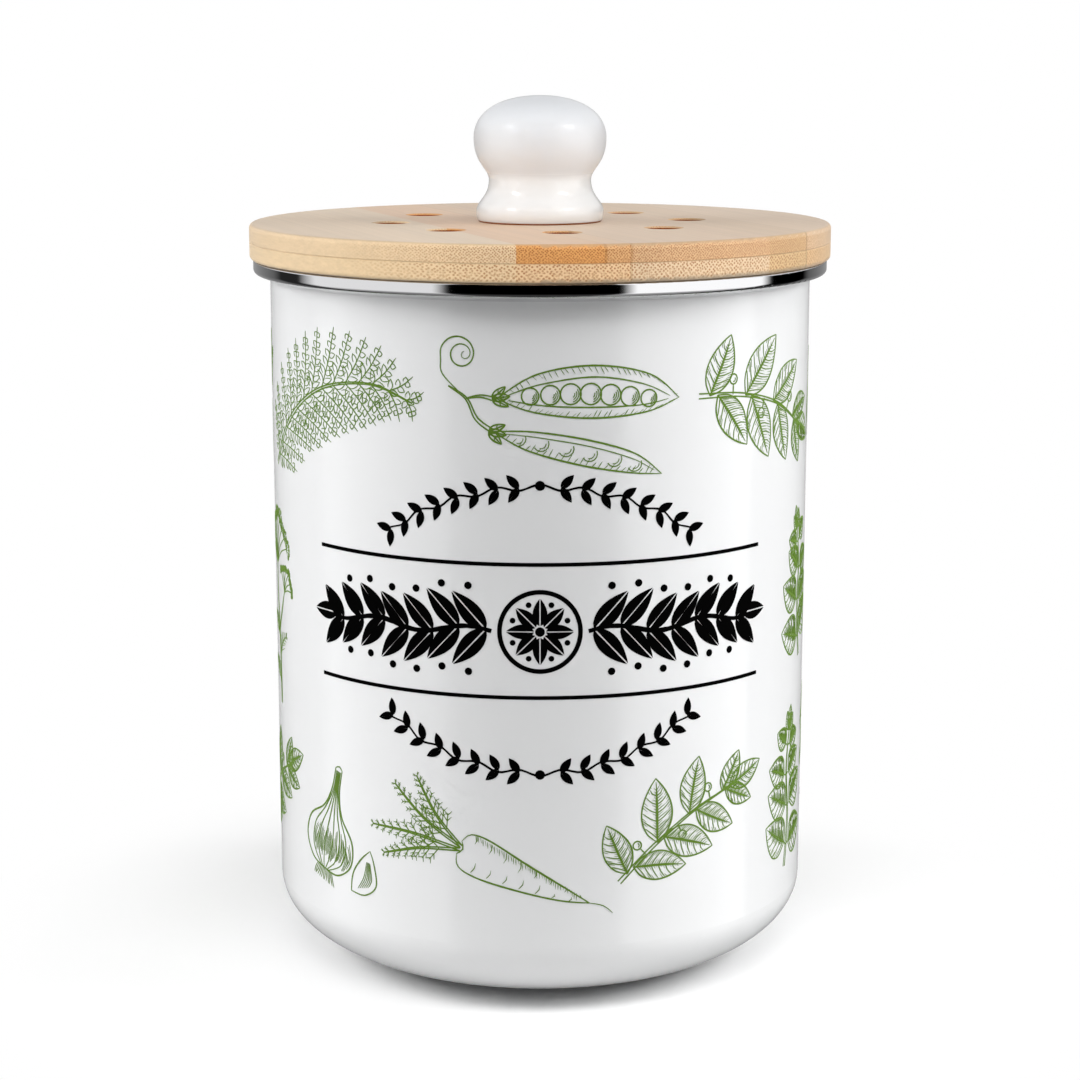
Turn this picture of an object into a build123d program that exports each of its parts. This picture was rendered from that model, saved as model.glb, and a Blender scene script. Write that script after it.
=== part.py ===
from build123d import *
import os
from math import cos, radians, sin

# A countertop caddy for kitchen scraps: an enamelled steel pot with a stainless
# rim, and a lift-off bamboo lid with a ceramic knob, vent holes, a lipped seal
# and a charcoal filter held under the vents by a twist-off slotted cap.
# Millimetres, +Z up, origin on the worktop under the middle of the pot.

# How far a cutting tool reaches past the faces that it cuts, and how near two heights
# or radii are when they count as the same
CUT_MARGIN = 1.0
SAME_SIZE = 0.01

# Enamelled pot
POT_RADIUS = 74.5
POT_WALL = 1.0
POT_HEIGHT = 194.4
CORNER_WIDE = 32.0
CORNER_TALL = 20.0
FOOT_WIDTH = 5.0
DISH_SLOPE_WIDTH = 3.0
DISH_RISE = 1.5

# Stainless rim ring, crimped over the pot's curled lip
RIM_SHEET = 0.5
RIM_GAP = 0.1
RIM_REACH = 4.56
RIM_FACE_HEIGHT = 3.3
RIM_UNDERCUT = 1.4
RIM_ROUND = 1.3
RIM_TOP_ROUND = 0.8
RIM_SKIRT = 8.0
LIP_END_ANGLE = 10.0

# Bamboo lid board, two plies glued face to face
LID_OVERHANG = 0.94
PLY_THICKNESS = 4.85
EDGE_ROUND = 1.2
PLY_EASE = 0.2

# Vent holes through the board
VENT_COUNT = 8
VENT_DIAMETER = 10.0
VENT_TURN = 8.14
VENT_EASE = 0.4

# Bamboo plug ring and its silicone seal
PLUG_CLEARANCE = 3.4
PLUG_WIDTH = 8.0
PLUG_DEPTH = 9.0
PLUG_LEAD_IN = 1.5
PLUG_EASE = 0.8
GROOVE_DEPTH = 2.4
GROOVE_HEIGHT = 5.0
GROOVE_DROP = 2.0
SEAL_GROOVE_CLEARANCE = 0.15
SEAL_CLEARANCE = 0.3
LIP_ROOT = 1.3
LIP_TIP = 0.5
LIP_RISE = 1.0
LIP_SPACING = 2.3

# Ceramic knob
KNOB_HEIGHT = 34.3
KNOB_RADIUS = 18.25
KNOB_WIDEST_HEIGHT = 22.8
KNOB_WAIST_RADIUS = 14.1
KNOB_WAIST_HEIGHT = 11.4
KNOB_FOOT_RADIUS = 17.6
KNOB_FOOT_HEIGHT = 2.6
KNOB_FOOT_TURN_IN = 0.7
KNOB_RECESS_RADIUS = 12.0
KNOB_RECESS_DEPTH = 0.5

# How full each stretch of the knob's outline is, as shares of that stretch
CROWN_SIDE_FULLNESS = 0.62
CROWN_TOP_FULLNESS = 0.60
BULB_FULLNESS = 0.63
WAIST_FULLNESS = 0.27
NECK_FULLNESS = 0.55
FOOT_FULLNESS = 0.36

# Knob fastening: a bolt from below into a brass insert
INSERT_RADIUS = 4.0
INSERT_LENGTH = 12.0
INSERT_GAP = 0.05
BOLT_RADIUS = 2.0
BOLT_THREAD_CLEARANCE = 0.05
BOLT_HOLE_CLEARANCE = 0.25
BOLT_ENGAGEMENT = 9.0
BOLT_TIP_CHAMFER = 0.5
HEAD_RADIUS = 4.0
HEAD_HEIGHT = 2.4
HEAD_ROUND = 1.0
WASHER_RADIUS = 6.0
WASHER_THICKNESS = 1.0
COUNTERBORE_CLEARANCE = 1.0

# Filter collar under the board
COLLAR_CLEARANCE = 0.5
FLANGE_WIDTH = 5.0
FLANGE_THICKNESS = 2.0
COLLAR_WALL = 2.0
COLLAR_DEPTH = 13.3
COLLAR_EASE = 0.8

# Countersunk screws that hold the collar
SCREW_COUNT = 4
SCREW_TURN = 45.0
SCREW_RADIUS = 1.2
SCREW_LENGTH = 6.0
SCREW_POINT = 1.5
SCREW_HEAD_RADIUS = 2.1
SCREW_GAP = 0.1
RECESS_WIDTH = 0.6
RECESS_SPAN = 2.4
RECESS_DEPTH = 0.8

# Helical ramps in the collar and the lugs that ride on them
LUG_COUNT = 3
RAMP_DROP = 5.0
RAMP_TURN = 60.0
RAMP_HEIGHT = 1.8
RAMP_BITE = 1.1
RAMP_STOP_WIDTH = 2.5
RAMP_STOP_HEIGHT = 2.0
RAMP_STOP_GAP = 0.4
LUG_ARC = 14.0
LUG_HEIGHT = 2.2
LUG_REACH = 1.5
LUG_SIDE_CLEARANCE = 0.3
LUG_SEAT_CLEARANCE = 0.15
LUG_BURY = 0.5
STEP_ARC = 7.0

# Slotted filter cap and the charcoal pad in it
CAP_WALL = 1.8
CAP_WALL_HEIGHT = 8.0
CAP_FLOOR = 2.0
CAP_EASE = 1.2
LUG_RISE = 4.1
PAD_THICKNESS = 8.0
PAD_TOP_GAP = 0.4
PAD_SIDE_GAP = 0.4
PAD_EDGE_ROUND = 0.8
VENT_MARGIN = 3.7
SLOT_WIDTH = 3.2
SLOT_PITCH = 6.0
SLOT_EDGE_MARGIN = 4.0
BAR_LENGTH = 76.0
BAR_DEPTH = 8.0
BAR_THICKNESS = 3.2
BAR_EASE = 0.6
BAR_CLEARANCE = 1.4

# Radii and heights that follow from the sizes above
pot_inside = POT_RADIUS - POT_WALL
foot_outside = POT_RADIUS - CORNER_WIDE
rim_radius = POT_RADIUS + RIM_REACH
skirt_outside = pot_inside - RIM_GAP
skirt_inside = skirt_outside - RIM_SHEET
lid_radius = rim_radius + LID_OVERHANG
lid_under = POT_HEIGHT
ply_joint = lid_under + PLY_THICKNESS
lid_top = ply_joint + PLY_THICKNESS
plug_outside = skirt_inside - PLUG_CLEARANCE
plug_inside = plug_outside - PLUG_WIDTH
flange_radius = plug_inside - COLLAR_CLEARANCE
collar_outside = flange_radius - FLANGE_WIDTH
collar_inside = collar_outside - COLLAR_WALL
collar_bottom = lid_under - COLLAR_DEPTH
cap_outside = collar_inside - LUG_SIDE_CLEARANCE - LUG_REACH
cap_inside = cap_outside - CAP_WALL
pad_radius = cap_inside - PAD_SIDE_GAP
pad_top = lid_under - PAD_TOP_GAP
cap_floor_top = pad_top - PAD_THICKNESS
cap_bottom = cap_floor_top - CAP_FLOOR
vent_pitch_radius = pad_radius - VENT_MARGIN - VENT_DIAMETER / 2
screw_pitch_radius = (flange_radius + collar_outside) / 2
lug_middle = cap_bottom + LUG_RISE + LUG_HEIGHT / 2
ramp_middle = lug_middle - LUG_HEIGHT / 2 - LUG_SEAT_CLEARANCE - RAMP_HEIGHT / 2


def polar(radius, angle, z=0.0):
    """A point at a radius and an angle in degrees about the pot's axis."""
    return Vector(radius * cos(radians(angle)), radius * sin(radians(angle)), z)


def turned(points):
    """The ring or disc whose half section is the closed outline through the points."""
    with BuildPart() as ring:
        with BuildSketch(Plane.XZ):
            with BuildLine():
                Polyline(*points, close=True)
            make_face()
        revolve(axis=Axis.Z)
    return ring.part


def helix_bar(inner, outer, middle, height, first_angle, last_angle):
    """A bar of rectangular section that climbs with the ramps; middle is its height at angle 0."""
    steps = max(1, round((last_angle - first_angle) / STEP_ARC))
    sections = []
    for step in range(steps + 1):
        angle = first_angle + (last_angle - first_angle) * step / steps
        z = middle + angle * RAMP_DROP / RAMP_TURN
        corners = [
            polar(inner, angle, z - height / 2),
            polar(outer, angle, z - height / 2),
            polar(outer, angle, z + height / 2),
            polar(inner, angle, z + height / 2),
        ]
        sections.append(Wire.make_polygon(corners, close=True))
    return Solid.make_loft(sections, ruled=True)


def circles_at(part, height):
    """The round edges of a part at a height, the smallest first."""
    edges = part.edges().filter_by(GeomType.CIRCLE)
    return [edge for edge in edges.sort_by(SortBy.RADIUS) if abs(edge.center().Z - height) < SAME_SIZE]


def cross_recess(face_z):
    """The driver recess in a screw head whose face looks down at face_z."""
    arm = Box(RECESS_SPAN, RECESS_WIDTH, 2 * RECESS_DEPTH)
    return Pos(0, 0, face_z) * (arm + Rot(0, 0, 90) * arm)


def make_pot_shell():
    """Drawn steel shell: dished base, soft base corner, straight side, curled lip."""
    curl_radius = (rim_radius - RIM_SHEET - RIM_GAP - pot_inside) / 2
    curl_middle = (pot_inside + curl_radius, POT_HEIGHT - RIM_SHEET - RIM_GAP - curl_radius)
    dish_outside = foot_outside - FOOT_WIDTH
    dish_inside = dish_outside - DISH_SLOPE_WIDTH
    corner_middle = (foot_outside, CORNER_TALL)
    with BuildPart() as shell:
        with BuildSketch(Plane.XZ):
            with BuildLine():
                Polyline(
                    (0, DISH_RISE + POT_WALL),
                    (0, DISH_RISE),
                    (dish_inside, DISH_RISE),
                    (dish_outside, 0),
                    (foot_outside, 0),
                )
                EllipticalCenterArc(corner_middle, CORNER_WIDE, CORNER_TALL, 270, arc_size=90)
                Line((POT_RADIUS, CORNER_TALL), (POT_RADIUS, curl_middle[1]))
                lip_turn = 180 - LIP_END_ANGLE
                lip_under = CenterArc(curl_middle, curl_radius - POT_WALL, LIP_END_ANGLE, lip_turn)
                lip_over = CenterArc(curl_middle, curl_radius, LIP_END_ANGLE, lip_turn)
                Line(lip_under @ 0, lip_over @ 0)
                Line((pot_inside, curl_middle[1]), (pot_inside, CORNER_TALL))
                EllipticalCenterArc(
                    corner_middle, CORNER_WIDE - POT_WALL, CORNER_TALL - POT_WALL, 270, arc_size=90
                )
                Polyline(
                    (foot_outside, POT_WALL),
                    (dish_outside, POT_WALL),
                    (dish_inside, DISH_RISE + POT_WALL),
                    (0, DISH_RISE + POT_WALL),
                )
            make_face()
        revolve(axis=Axis.Z)
    return shell.part


def make_rim_ring():
    """Stainless sheet: skirt in the pot, flat top, upright face, rolled and drawn in below."""
    half_sheet = RIM_SHEET / 2
    skirt_middle = skirt_inside + half_sheet
    face_middle = rim_radius - half_sheet
    top_middle = POT_HEIGHT - half_sheet
    face_bottom = POT_HEIGHT - RIM_FACE_HEIGHT
    under_inside = POT_RADIUS + RIM_GAP + half_sheet
    with BuildPart() as ring:
        with BuildSketch(Plane.XZ):
            with BuildLine() as bend_line:
                FilletPolyline(
                    (skirt_middle, POT_HEIGHT - RIM_SKIRT),
                    (skirt_middle, top_middle),
                    (face_middle, top_middle),
                    (face_middle, face_bottom),
                    (under_inside, face_bottom - RIM_UNDERCUT),
                    radius=[RIM_SHEET, RIM_TOP_ROUND - half_sheet, RIM_ROUND - half_sheet],
                )
            trace(bend_line.line, line_width=RIM_SHEET)
        revolve(axis=Axis.Z)
    return ring.part


def vent_cutters(low, high):
    """The vent holes as one set of cylinders between two heights."""
    cutters = []
    for number in range(VENT_COUNT):
        place = polar(vent_pitch_radius, VENT_TURN + number * 360 / VENT_COUNT, (low + high) / 2)
        cutters.append(Pos(place) * Cylinder(VENT_DIAMETER / 2, high - low))
    return cutters


def make_upper_ply():
    """Top ply: rounded outer edge, eased vents and the bolt's clearance hole."""
    bolt_hole = BOLT_RADIUS + BOLT_HOLE_CLEARANCE
    disc = turned([
        (bolt_hole, ply_joint),
        (lid_radius - PLY_EASE, ply_joint),
        (lid_radius, ply_joint + PLY_EASE),
        (lid_radius, lid_top),
        (bolt_hole, lid_top),
    ])
    disc = fillet(circles_at(disc, lid_top)[-1], EDGE_ROUND)
    disc = disc - vent_cutters(ply_joint - CUT_MARGIN, lid_top + CUT_MARGIN)
    top_circles = circles_at(disc, lid_top)
    vent_edges = [edge for edge in top_circles if abs(edge.radius - VENT_DIAMETER / 2) < SAME_SIZE]
    return chamfer(vent_edges, VENT_EASE)


def make_lower_ply():
    """Bottom ply: rounded lower edge, vents, sunk seat for the bolt head and screw pilots."""
    bolt_hole = BOLT_RADIUS + BOLT_HOLE_CLEARANCE
    seat_radius = WASHER_RADIUS + COUNTERBORE_CLEARANCE
    seat_top = lid_under + WASHER_THICKNESS + HEAD_HEIGHT
    disc = turned([
        (bolt_hole, ply_joint),
        (bolt_hole, seat_top),
        (seat_radius, seat_top),
        (seat_radius, lid_under),
        (lid_radius, lid_under),
        (lid_radius, ply_joint - PLY_EASE),
        (lid_radius - PLY_EASE, ply_joint),
    ])
    disc = fillet(circles_at(disc, lid_under)[-1], EDGE_ROUND)
    disc = disc - vent_cutters(lid_under - CUT_MARGIN, ply_joint + CUT_MARGIN)
    pilot_top = lid_under - FLANGE_THICKNESS + SCREW_LENGTH + SCREW_GAP
    pilot = Cylinder(SCREW_RADIUS + SCREW_GAP, 2 * (pilot_top - lid_under))
    for number in range(SCREW_COUNT):
        disc = disc - Pos(screw_place(number, lid_under)) * pilot
    return disc


def make_lid_plug():
    """Bamboo ring glued under the board; a groove round it holds the seal."""
    bottom = lid_under - PLUG_DEPTH
    groove_inside = plug_outside - GROOVE_DEPTH
    groove_top = lid_under - GROOVE_DROP
    groove_bottom = groove_top - GROOVE_HEIGHT
    plug = turned([
        (plug_inside, bottom),
        (plug_outside - PLUG_LEAD_IN, bottom),
        (plug_outside, bottom + PLUG_LEAD_IN),
        (plug_outside, groove_bottom),
        (groove_inside, groove_bottom),
        (groove_inside, groove_top),
        (plug_outside, groove_top),
        (plug_outside, lid_under),
        (plug_inside, lid_under),
    ])
    return fillet(circles_at(plug, bottom), PLUG_EASE)


def make_lid_seal():
    """Silicone ring: a band in the plug's groove with two upswept lips towards the rim."""
    band_inside = plug_outside - GROOVE_DEPTH + SEAL_GROOVE_CLEARANCE
    band_top = lid_under - GROOVE_DROP - SEAL_GROOVE_CLEARANCE
    band_bottom = lid_under - GROOVE_DROP - GROOVE_HEIGHT + SEAL_GROOVE_CLEARANCE
    lip_edge = skirt_inside - SEAL_CLEARANCE
    upper_root = band_bottom + LIP_SPACING
    return turned([
        (band_inside, band_bottom),
        (plug_outside, band_bottom),
        (lip_edge, band_bottom + LIP_RISE),
        (lip_edge, band_bottom + LIP_RISE + LIP_TIP),
        (plug_outside, band_bottom + LIP_ROOT),
        (plug_outside, upper_root),
        (lip_edge, upper_root + LIP_RISE),
        (lip_edge, upper_root + LIP_RISE + LIP_TIP),
        (plug_outside, upper_root + LIP_ROOT),
        (plug_outside, band_top),
        (band_inside, band_top),
    ])


def make_knob():
    """Glazed ceramic knob: flared foot, waist, full bulb; a socket below for the insert."""
    socket_radius = INSERT_RADIUS + INSERT_GAP
    recess_top = lid_top + KNOB_RECESS_DEPTH
    socket_top = recess_top + INSERT_LENGTH + INSERT_GAP
    foot = (KNOB_FOOT_RADIUS, lid_top + KNOB_FOOT_HEIGHT)
    waist = (KNOB_WAIST_RADIUS, lid_top + KNOB_WAIST_HEIGHT)
    widest = (KNOB_RADIUS, lid_top + KNOB_WIDEST_HEIGHT)
    crown = (0, lid_top + KNOB_HEIGHT)
    neck_run = waist[1] - foot[1]
    bulb_run = widest[1] - waist[1]
    crown_run = crown[1] - widest[1]
    toe = (KNOB_FOOT_RADIUS - KNOB_FOOT_TURN_IN, lid_top)
    with BuildPart() as knob:
        with BuildSketch(Plane.XZ):
            with BuildLine():
                Polyline(
                    crown,
                    (0, socket_top),
                    (socket_radius, socket_top),
                    (socket_radius, recess_top),
                    (KNOB_RECESS_RADIUS, recess_top),
                    (KNOB_RECESS_RADIUS, lid_top),
                    toe,
                )
                Bezier(toe, (foot[0], lid_top + KNOB_FOOT_HEIGHT * FOOT_FULLNESS), foot)
                Bezier(
                    foot,
                    (foot[0], foot[1] + neck_run * FOOT_FULLNESS),
                    (waist[0], waist[1] - neck_run * NECK_FULLNESS),
                    waist,
                )
                Bezier(
                    waist,
                    (waist[0], waist[1] + bulb_run * WAIST_FULLNESS),
                    (widest[0], widest[1] - bulb_run * BULB_FULLNESS),
                    widest,
                )
                Bezier(
                    widest,
                    (widest[0], widest[1] + crown_run * CROWN_SIDE_FULLNESS),
                    (widest[0] * CROWN_TOP_FULLNESS, crown[1]),
                    crown,
                )
            make_face()
        revolve(axis=Axis.Z)
    return knob.part


def make_knob_insert():
    """Threaded brass sleeve cemented into the knob."""
    bottom = lid_top + KNOB_RECESS_DEPTH
    bore = BOLT_RADIUS + BOLT_THREAD_CLEARANCE
    return turned([
        (bore, bottom),
        (INSERT_RADIUS, bottom),
        (INSERT_RADIUS, bottom + INSERT_LENGTH),
        (bore, bottom + INSERT_LENGTH),
    ])


def make_knob_washer():
    """Wide washer between the bolt head and the board."""
    bottom = lid_under + HEAD_HEIGHT
    bore = BOLT_RADIUS + BOLT_HOLE_CLEARANCE
    return turned([
        (bore, bottom),
        (WASHER_RADIUS, bottom),
        (WASHER_RADIUS, bottom + WASHER_THICKNESS),
        (bore, bottom + WASHER_THICKNESS),
    ])


def make_knob_bolt():
    """Pan-head bolt up through the board into the insert; its head lies flush below."""
    tip = lid_top + KNOB_RECESS_DEPTH + BOLT_ENGAGEMENT
    head_top = lid_under + HEAD_HEIGHT
    bolt = turned([
        (0, lid_under),
        (HEAD_RADIUS, lid_under),
        (HEAD_RADIUS, head_top),
        (BOLT_RADIUS, head_top),
        (BOLT_RADIUS, tip - BOLT_TIP_CHAMFER),
        (BOLT_RADIUS - BOLT_TIP_CHAMFER, tip),
        (0, tip),
    ])
    return fillet(circles_at(bolt, lid_under), HEAD_ROUND) - cross_recess(lid_under)


def screw_place(number, z):
    """Where a collar screw stands; the first lies between two lug ramps."""
    return polar(screw_pitch_radius, SCREW_TURN + number * 360 / SCREW_COUNT, z)


def make_collar_screws():
    """Countersunk screws up through the flange into the lower ply, heads flush."""
    face = lid_under - FLANGE_THICKNESS
    neck = face + SCREW_HEAD_RADIUS - SCREW_RADIUS
    tip = face + SCREW_LENGTH
    screw = turned([
        (0, face),
        (SCREW_HEAD_RADIUS, face),
        (SCREW_RADIUS, neck),
        (SCREW_RADIUS, tip - SCREW_POINT),
        (0, tip),
    ])
    screw = screw - cross_recess(face)
    return [Pos(screw_place(number, 0)) * screw for number in range(SCREW_COUNT)]


def make_filter_collar():
    """Moulded collar screwed under the board; three helical ramps carry the cap's lugs."""
    face = lid_under - FLANGE_THICKNESS
    collar = turned([
        (collar_inside, collar_bottom),
        (collar_outside, collar_bottom),
        (collar_outside, face),
        (flange_radius, face),
        (flange_radius, lid_under),
        (collar_inside, lid_under),
    ])
    collar = fillet([circles_at(collar, collar_bottom)[-1], circles_at(collar, face)[-1]], COLLAR_EASE)
    hole = SCREW_RADIUS + SCREW_GAP
    mouth = SCREW_HEAD_RADIUS + SCREW_GAP
    screw_hole = turned([
        (0, face - CUT_MARGIN),
        (mouth + CUT_MARGIN, face - CUT_MARGIN),
        (hole, face + mouth - hole),
        (hole, lid_under + CUT_MARGIN),
        (0, lid_under + CUT_MARGIN),
    ])
    for number in range(SCREW_COUNT):
        collar = collar - Pos(screw_place(number, 0)) * screw_hole
    ramp_tip = cap_outside + LUG_REACH - RAMP_BITE
    ramp_root = collar_inside + LUG_BURY
    stop_start = LUG_ARC / 2 + RAMP_STOP_GAP
    ramp_start = stop_start - RAMP_TURN - LUG_ARC / 2
    stop_end = stop_start + RAMP_STOP_WIDTH
    for number in range(LUG_COUNT):
        ramp = helix_bar(ramp_tip, ramp_root, ramp_middle, RAMP_HEIGHT, ramp_start, stop_end)
        stop = helix_bar(
            ramp_tip,
            ramp_root,
            ramp_middle + RAMP_STOP_HEIGHT / 2,
            RAMP_HEIGHT + RAMP_STOP_HEIGHT,
            stop_start,
            stop_end,
        )
        collar = collar + Rot(0, 0, number * 360 / LUG_COUNT) * (ramp + stop)
    return collar


def make_filter_cap():
    """Twist-off cap: slotted floor, low wall with three lugs and a bar to turn it by."""
    cap = turned([
        (0, cap_bottom),
        (cap_outside, cap_bottom),
        (cap_outside, cap_bottom + CAP_FLOOR + CAP_WALL_HEIGHT),
        (cap_inside, cap_bottom + CAP_FLOOR + CAP_WALL_HEIGHT),
        (cap_inside, cap_floor_top),
        (0, cap_floor_top),
    ])
    cap = fillet(circles_at(cap, cap_bottom), CAP_EASE)
    slot_reach = cap_inside - SLOT_EDGE_MARGIN
    first_row = BAR_THICKNESS / 2 + BAR_CLEARANCE + SLOT_WIDTH / 2
    rows = int((slot_reach - first_row - SLOT_WIDTH) / SLOT_PITCH) + 1
    for row in range(rows):
        y = first_row + row * SLOT_PITCH
        half_length = (slot_reach ** 2 - (y + SLOT_WIDTH / 2) ** 2) ** 0.5
        slot = extrude(SlotOverall(2 * half_length, SLOT_WIDTH), CAP_FLOOR + 2 * CUT_MARGIN)
        cap = cap - Pos(0, y, cap_bottom - CUT_MARGIN) * slot
        cap = cap - Pos(0, -y, cap_bottom - CUT_MARGIN) * slot
    for number in range(LUG_COUNT):
        lug = helix_bar(
            cap_outside - LUG_BURY,
            cap_outside + LUG_REACH,
            lug_middle,
            LUG_HEIGHT,
            -LUG_ARC / 2,
            LUG_ARC / 2,
        )
        cap = cap + Rot(0, 0, number * 360 / LUG_COUNT) * lug
    return cap + make_turning_bar()


def make_turning_bar():
    """The half-moon bar across the underside of the cap."""
    half = BAR_LENGTH / 2
    root = cap_bottom + CAP_FLOOR / 2
    with BuildPart() as bar:
        with BuildSketch(Plane.XZ):
            with BuildLine():
                Polyline((-half, cap_bottom), (-half, root), (half, root), (half, cap_bottom))
                ThreePointArc((-half, cap_bottom), (0, cap_bottom - BAR_DEPTH), (half, cap_bottom))
            make_face()
        extrude(amount=BAR_THICKNESS / 2, both=True)
        fillet(bar.edges().filter_by(GeomType.CIRCLE), BAR_EASE)
    return bar.part


def make_filter_pad():
    """Charcoal felt disc that lies in the cap under the vents."""
    pad = turned([
        (0, cap_floor_top),
        (pad_radius, cap_floor_top),
        (pad_radius, pad_top),
        (0, pad_top),
    ])
    return fillet(pad.edges().filter_by(GeomType.CIRCLE), PAD_EDGE_ROUND)


nodes = {
    "pot_shell": make_pot_shell(),
    "rim_ring": make_rim_ring(),
    "lid_upper_ply": make_upper_ply(),
    "lid_lower_ply": make_lower_ply(),
    "lid_plug": make_lid_plug(),
    "lid_seal": make_lid_seal(),
    "knob": make_knob(),
    "knob_insert": make_knob_insert(),
    "knob_washer": make_knob_washer(),
    "knob_bolt": make_knob_bolt(),
    "filter_collar": make_filter_collar(),
    "collar_screws": Compound(children=make_collar_screws()),
    "filter_cap": make_filter_cap(),
    "filter_pad": make_filter_pad(),
}

os.makedirs("parts", exist_ok=True)
for name, shape in nodes.items():
    export_step(shape, f"parts/{name}.step")
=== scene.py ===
import bpy
import math
import random
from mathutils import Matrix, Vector


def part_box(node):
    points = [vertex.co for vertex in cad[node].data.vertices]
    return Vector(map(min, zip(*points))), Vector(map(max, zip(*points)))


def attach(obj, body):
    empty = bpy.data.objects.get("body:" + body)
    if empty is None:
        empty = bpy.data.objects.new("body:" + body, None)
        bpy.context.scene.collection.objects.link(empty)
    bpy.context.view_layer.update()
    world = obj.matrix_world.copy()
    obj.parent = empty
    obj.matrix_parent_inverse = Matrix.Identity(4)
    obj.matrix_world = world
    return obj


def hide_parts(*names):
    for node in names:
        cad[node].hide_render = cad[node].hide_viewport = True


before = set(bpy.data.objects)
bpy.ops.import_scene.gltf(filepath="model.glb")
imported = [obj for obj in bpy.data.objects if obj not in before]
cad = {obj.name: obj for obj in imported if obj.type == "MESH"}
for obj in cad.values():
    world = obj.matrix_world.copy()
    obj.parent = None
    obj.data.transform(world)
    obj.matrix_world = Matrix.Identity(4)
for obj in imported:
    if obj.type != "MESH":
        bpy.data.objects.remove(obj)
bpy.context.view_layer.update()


# Camera. It stands in front of the pot, a little above the lid, and looks down at it,
# as the photograph does.
EYE_DISTANCE = 0.71185
EYE_HEIGHT = 0.2554
EYE_PITCH = 11.22
LENS = 85.4
FILM_WIDTH = 36


def put_in_scene(name, data):
    """A new object in the scene that holds a mesh, a lamp or a camera."""
    thing = bpy.data.objects.new(name, data)
    bpy.context.scene.collection.objects.link(thing)
    return thing


eye = put_in_scene("camera", bpy.data.cameras.new("camera"))
eye.location = (0, -EYE_DISTANCE, EYE_HEIGHT)
eye.rotation_euler = (math.radians(90 - EYE_PITCH), 0, 0)
eye.data.lens = LENS
eye.data.sensor_width = FILM_WIDTH
bpy.context.scene.camera = eye
bpy.context.scene.view_settings.view_transform = "Standard"


# Studio. A pale table top that fades to white, and soft lamps at both sides and above.
# Shiny surfaces see two white walls, with dark gaps in front and at the sides.
FLOOR_RADIUS = 1.1
FLOOR_SIDES = 96
FLOOR_TONE = (0.95, 0.95, 0.95)
BOUNCE_START = 0.10
BOUNCE_END = 0.60
BOUNCE_NEAR = 0.82
BOUNCE_FAR = 0.45
FADE_START = 0.080
FADE_END = 0.17
WORLD_FILL = (0.02, 0.02, 0.02)
WALL_TONES = (
    (-180, 0.42), (-131, 0.13), (-124, 0.02), (-110, 0.02), (-99, 0.90), (-42, 0.88), (-36, 0.0),
    (32, 0.0), (38, 1.20), (97, 1.20), (103, 0.0), (128, 0.0), (134, 0.12), (180, 0.42),
)
CEILING_TONE = (0.92, 0.93, 0.95)
CEILING_SPAN = (0.82, 0.98)
CEILING_TILT = 0.7
GROUND_TONE = (0.05, 0.05, 0.05)
GROUND_SPAN = (-0.75, -0.25)
GROUND_SHARE = 0.8
LAMP_AIM = (0, 0, 0.12)


def wire(tree, source, target):
    """Joins an output socket to an input socket."""
    tree.links.new(source, target)


def set_or_wire(tree, socket, value):
    """Gives an input socket a number, a colour or another socket's output."""
    if isinstance(value, bpy.types.NodeSocket):
        wire(tree, value, socket)
    else:
        socket.default_value = value


def reckon(tree, operation, *values):
    """A math node on numbers or output sockets; returns its output."""
    node = tree.nodes.new("ShaderNodeMath")
    node.operation = operation
    for socket, value in zip(node.inputs, values):
        set_or_wire(tree, socket, value)
    return node.outputs[0]


def coordinates(tree, output="Object"):
    """An output of the texture coordinates."""
    return tree.nodes.new("ShaderNodeTexCoord").outputs[output]


def axes_of(tree, vector):
    """The outputs X, Y and Z of a vector."""
    node = tree.nodes.new("ShaderNodeSeparateXYZ")
    wire(tree, vector, node.inputs[0])
    return node.outputs


def vector_from(tree, **axes):
    """A vector with its X, Y or Z from numbers or output sockets, and 0 where none is given."""
    node = tree.nodes.new("ShaderNodeCombineXYZ")
    for axis, value in axes.items():
        set_or_wire(tree, node.inputs[axis], value)
    return node.outputs[0]


def length_of(tree, vector):
    """The length of a vector."""
    node = tree.nodes.new("ShaderNodeVectorMath")
    node.operation = "LENGTH"
    wire(tree, vector, node.inputs[0])
    return node.outputs["Value"]


def ramp_between(tree, value, low, high, to_low=0.0, to_high=1.0):
    """A smooth change from to_low to to_high as the value goes from low to high."""
    node = tree.nodes.new("ShaderNodeMapRange")
    node.interpolation_type = "SMOOTHSTEP"
    for name, number in (("From Min", low), ("From Max", high), ("To Min", to_low), ("To Max", to_high)):
        set_or_wire(tree, node.inputs[name], number)
    wire(tree, value, node.inputs["Value"])
    return node.outputs["Result"]


def colour_steps(tree, value, steps, interpolation="LINEAR"):
    """A colour ramp through steps, each a place from 0 to 1 and a colour; returns its colour."""
    node = tree.nodes.new("ShaderNodeValToRGB")
    node.color_ramp.interpolation = interpolation
    while len(node.color_ramp.elements) < len(steps):
        node.color_ramp.elements.new(0.5)
    for element, (place, colour) in zip(node.color_ramp.elements, steps):
        element.position = place
        element.color = (*colour, 1)
    wire(tree, value, node.inputs[0])
    return node.outputs["Color"]


def blend_colours(tree, factor, first, second, kind="MIX"):
    """A colour mix node on colours or output sockets; returns its output."""
    node = tree.nodes.new("ShaderNodeMix")
    node.data_type = "RGBA"
    node.blend_type = kind
    set_or_wire(tree, node.inputs["Factor"], factor)
    for number, colour in ((6, first), (7, second)):
        set_or_wire(tree, node.inputs[number], (*colour, 1) if isinstance(colour, tuple) else colour)
    return node.outputs[2]


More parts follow.
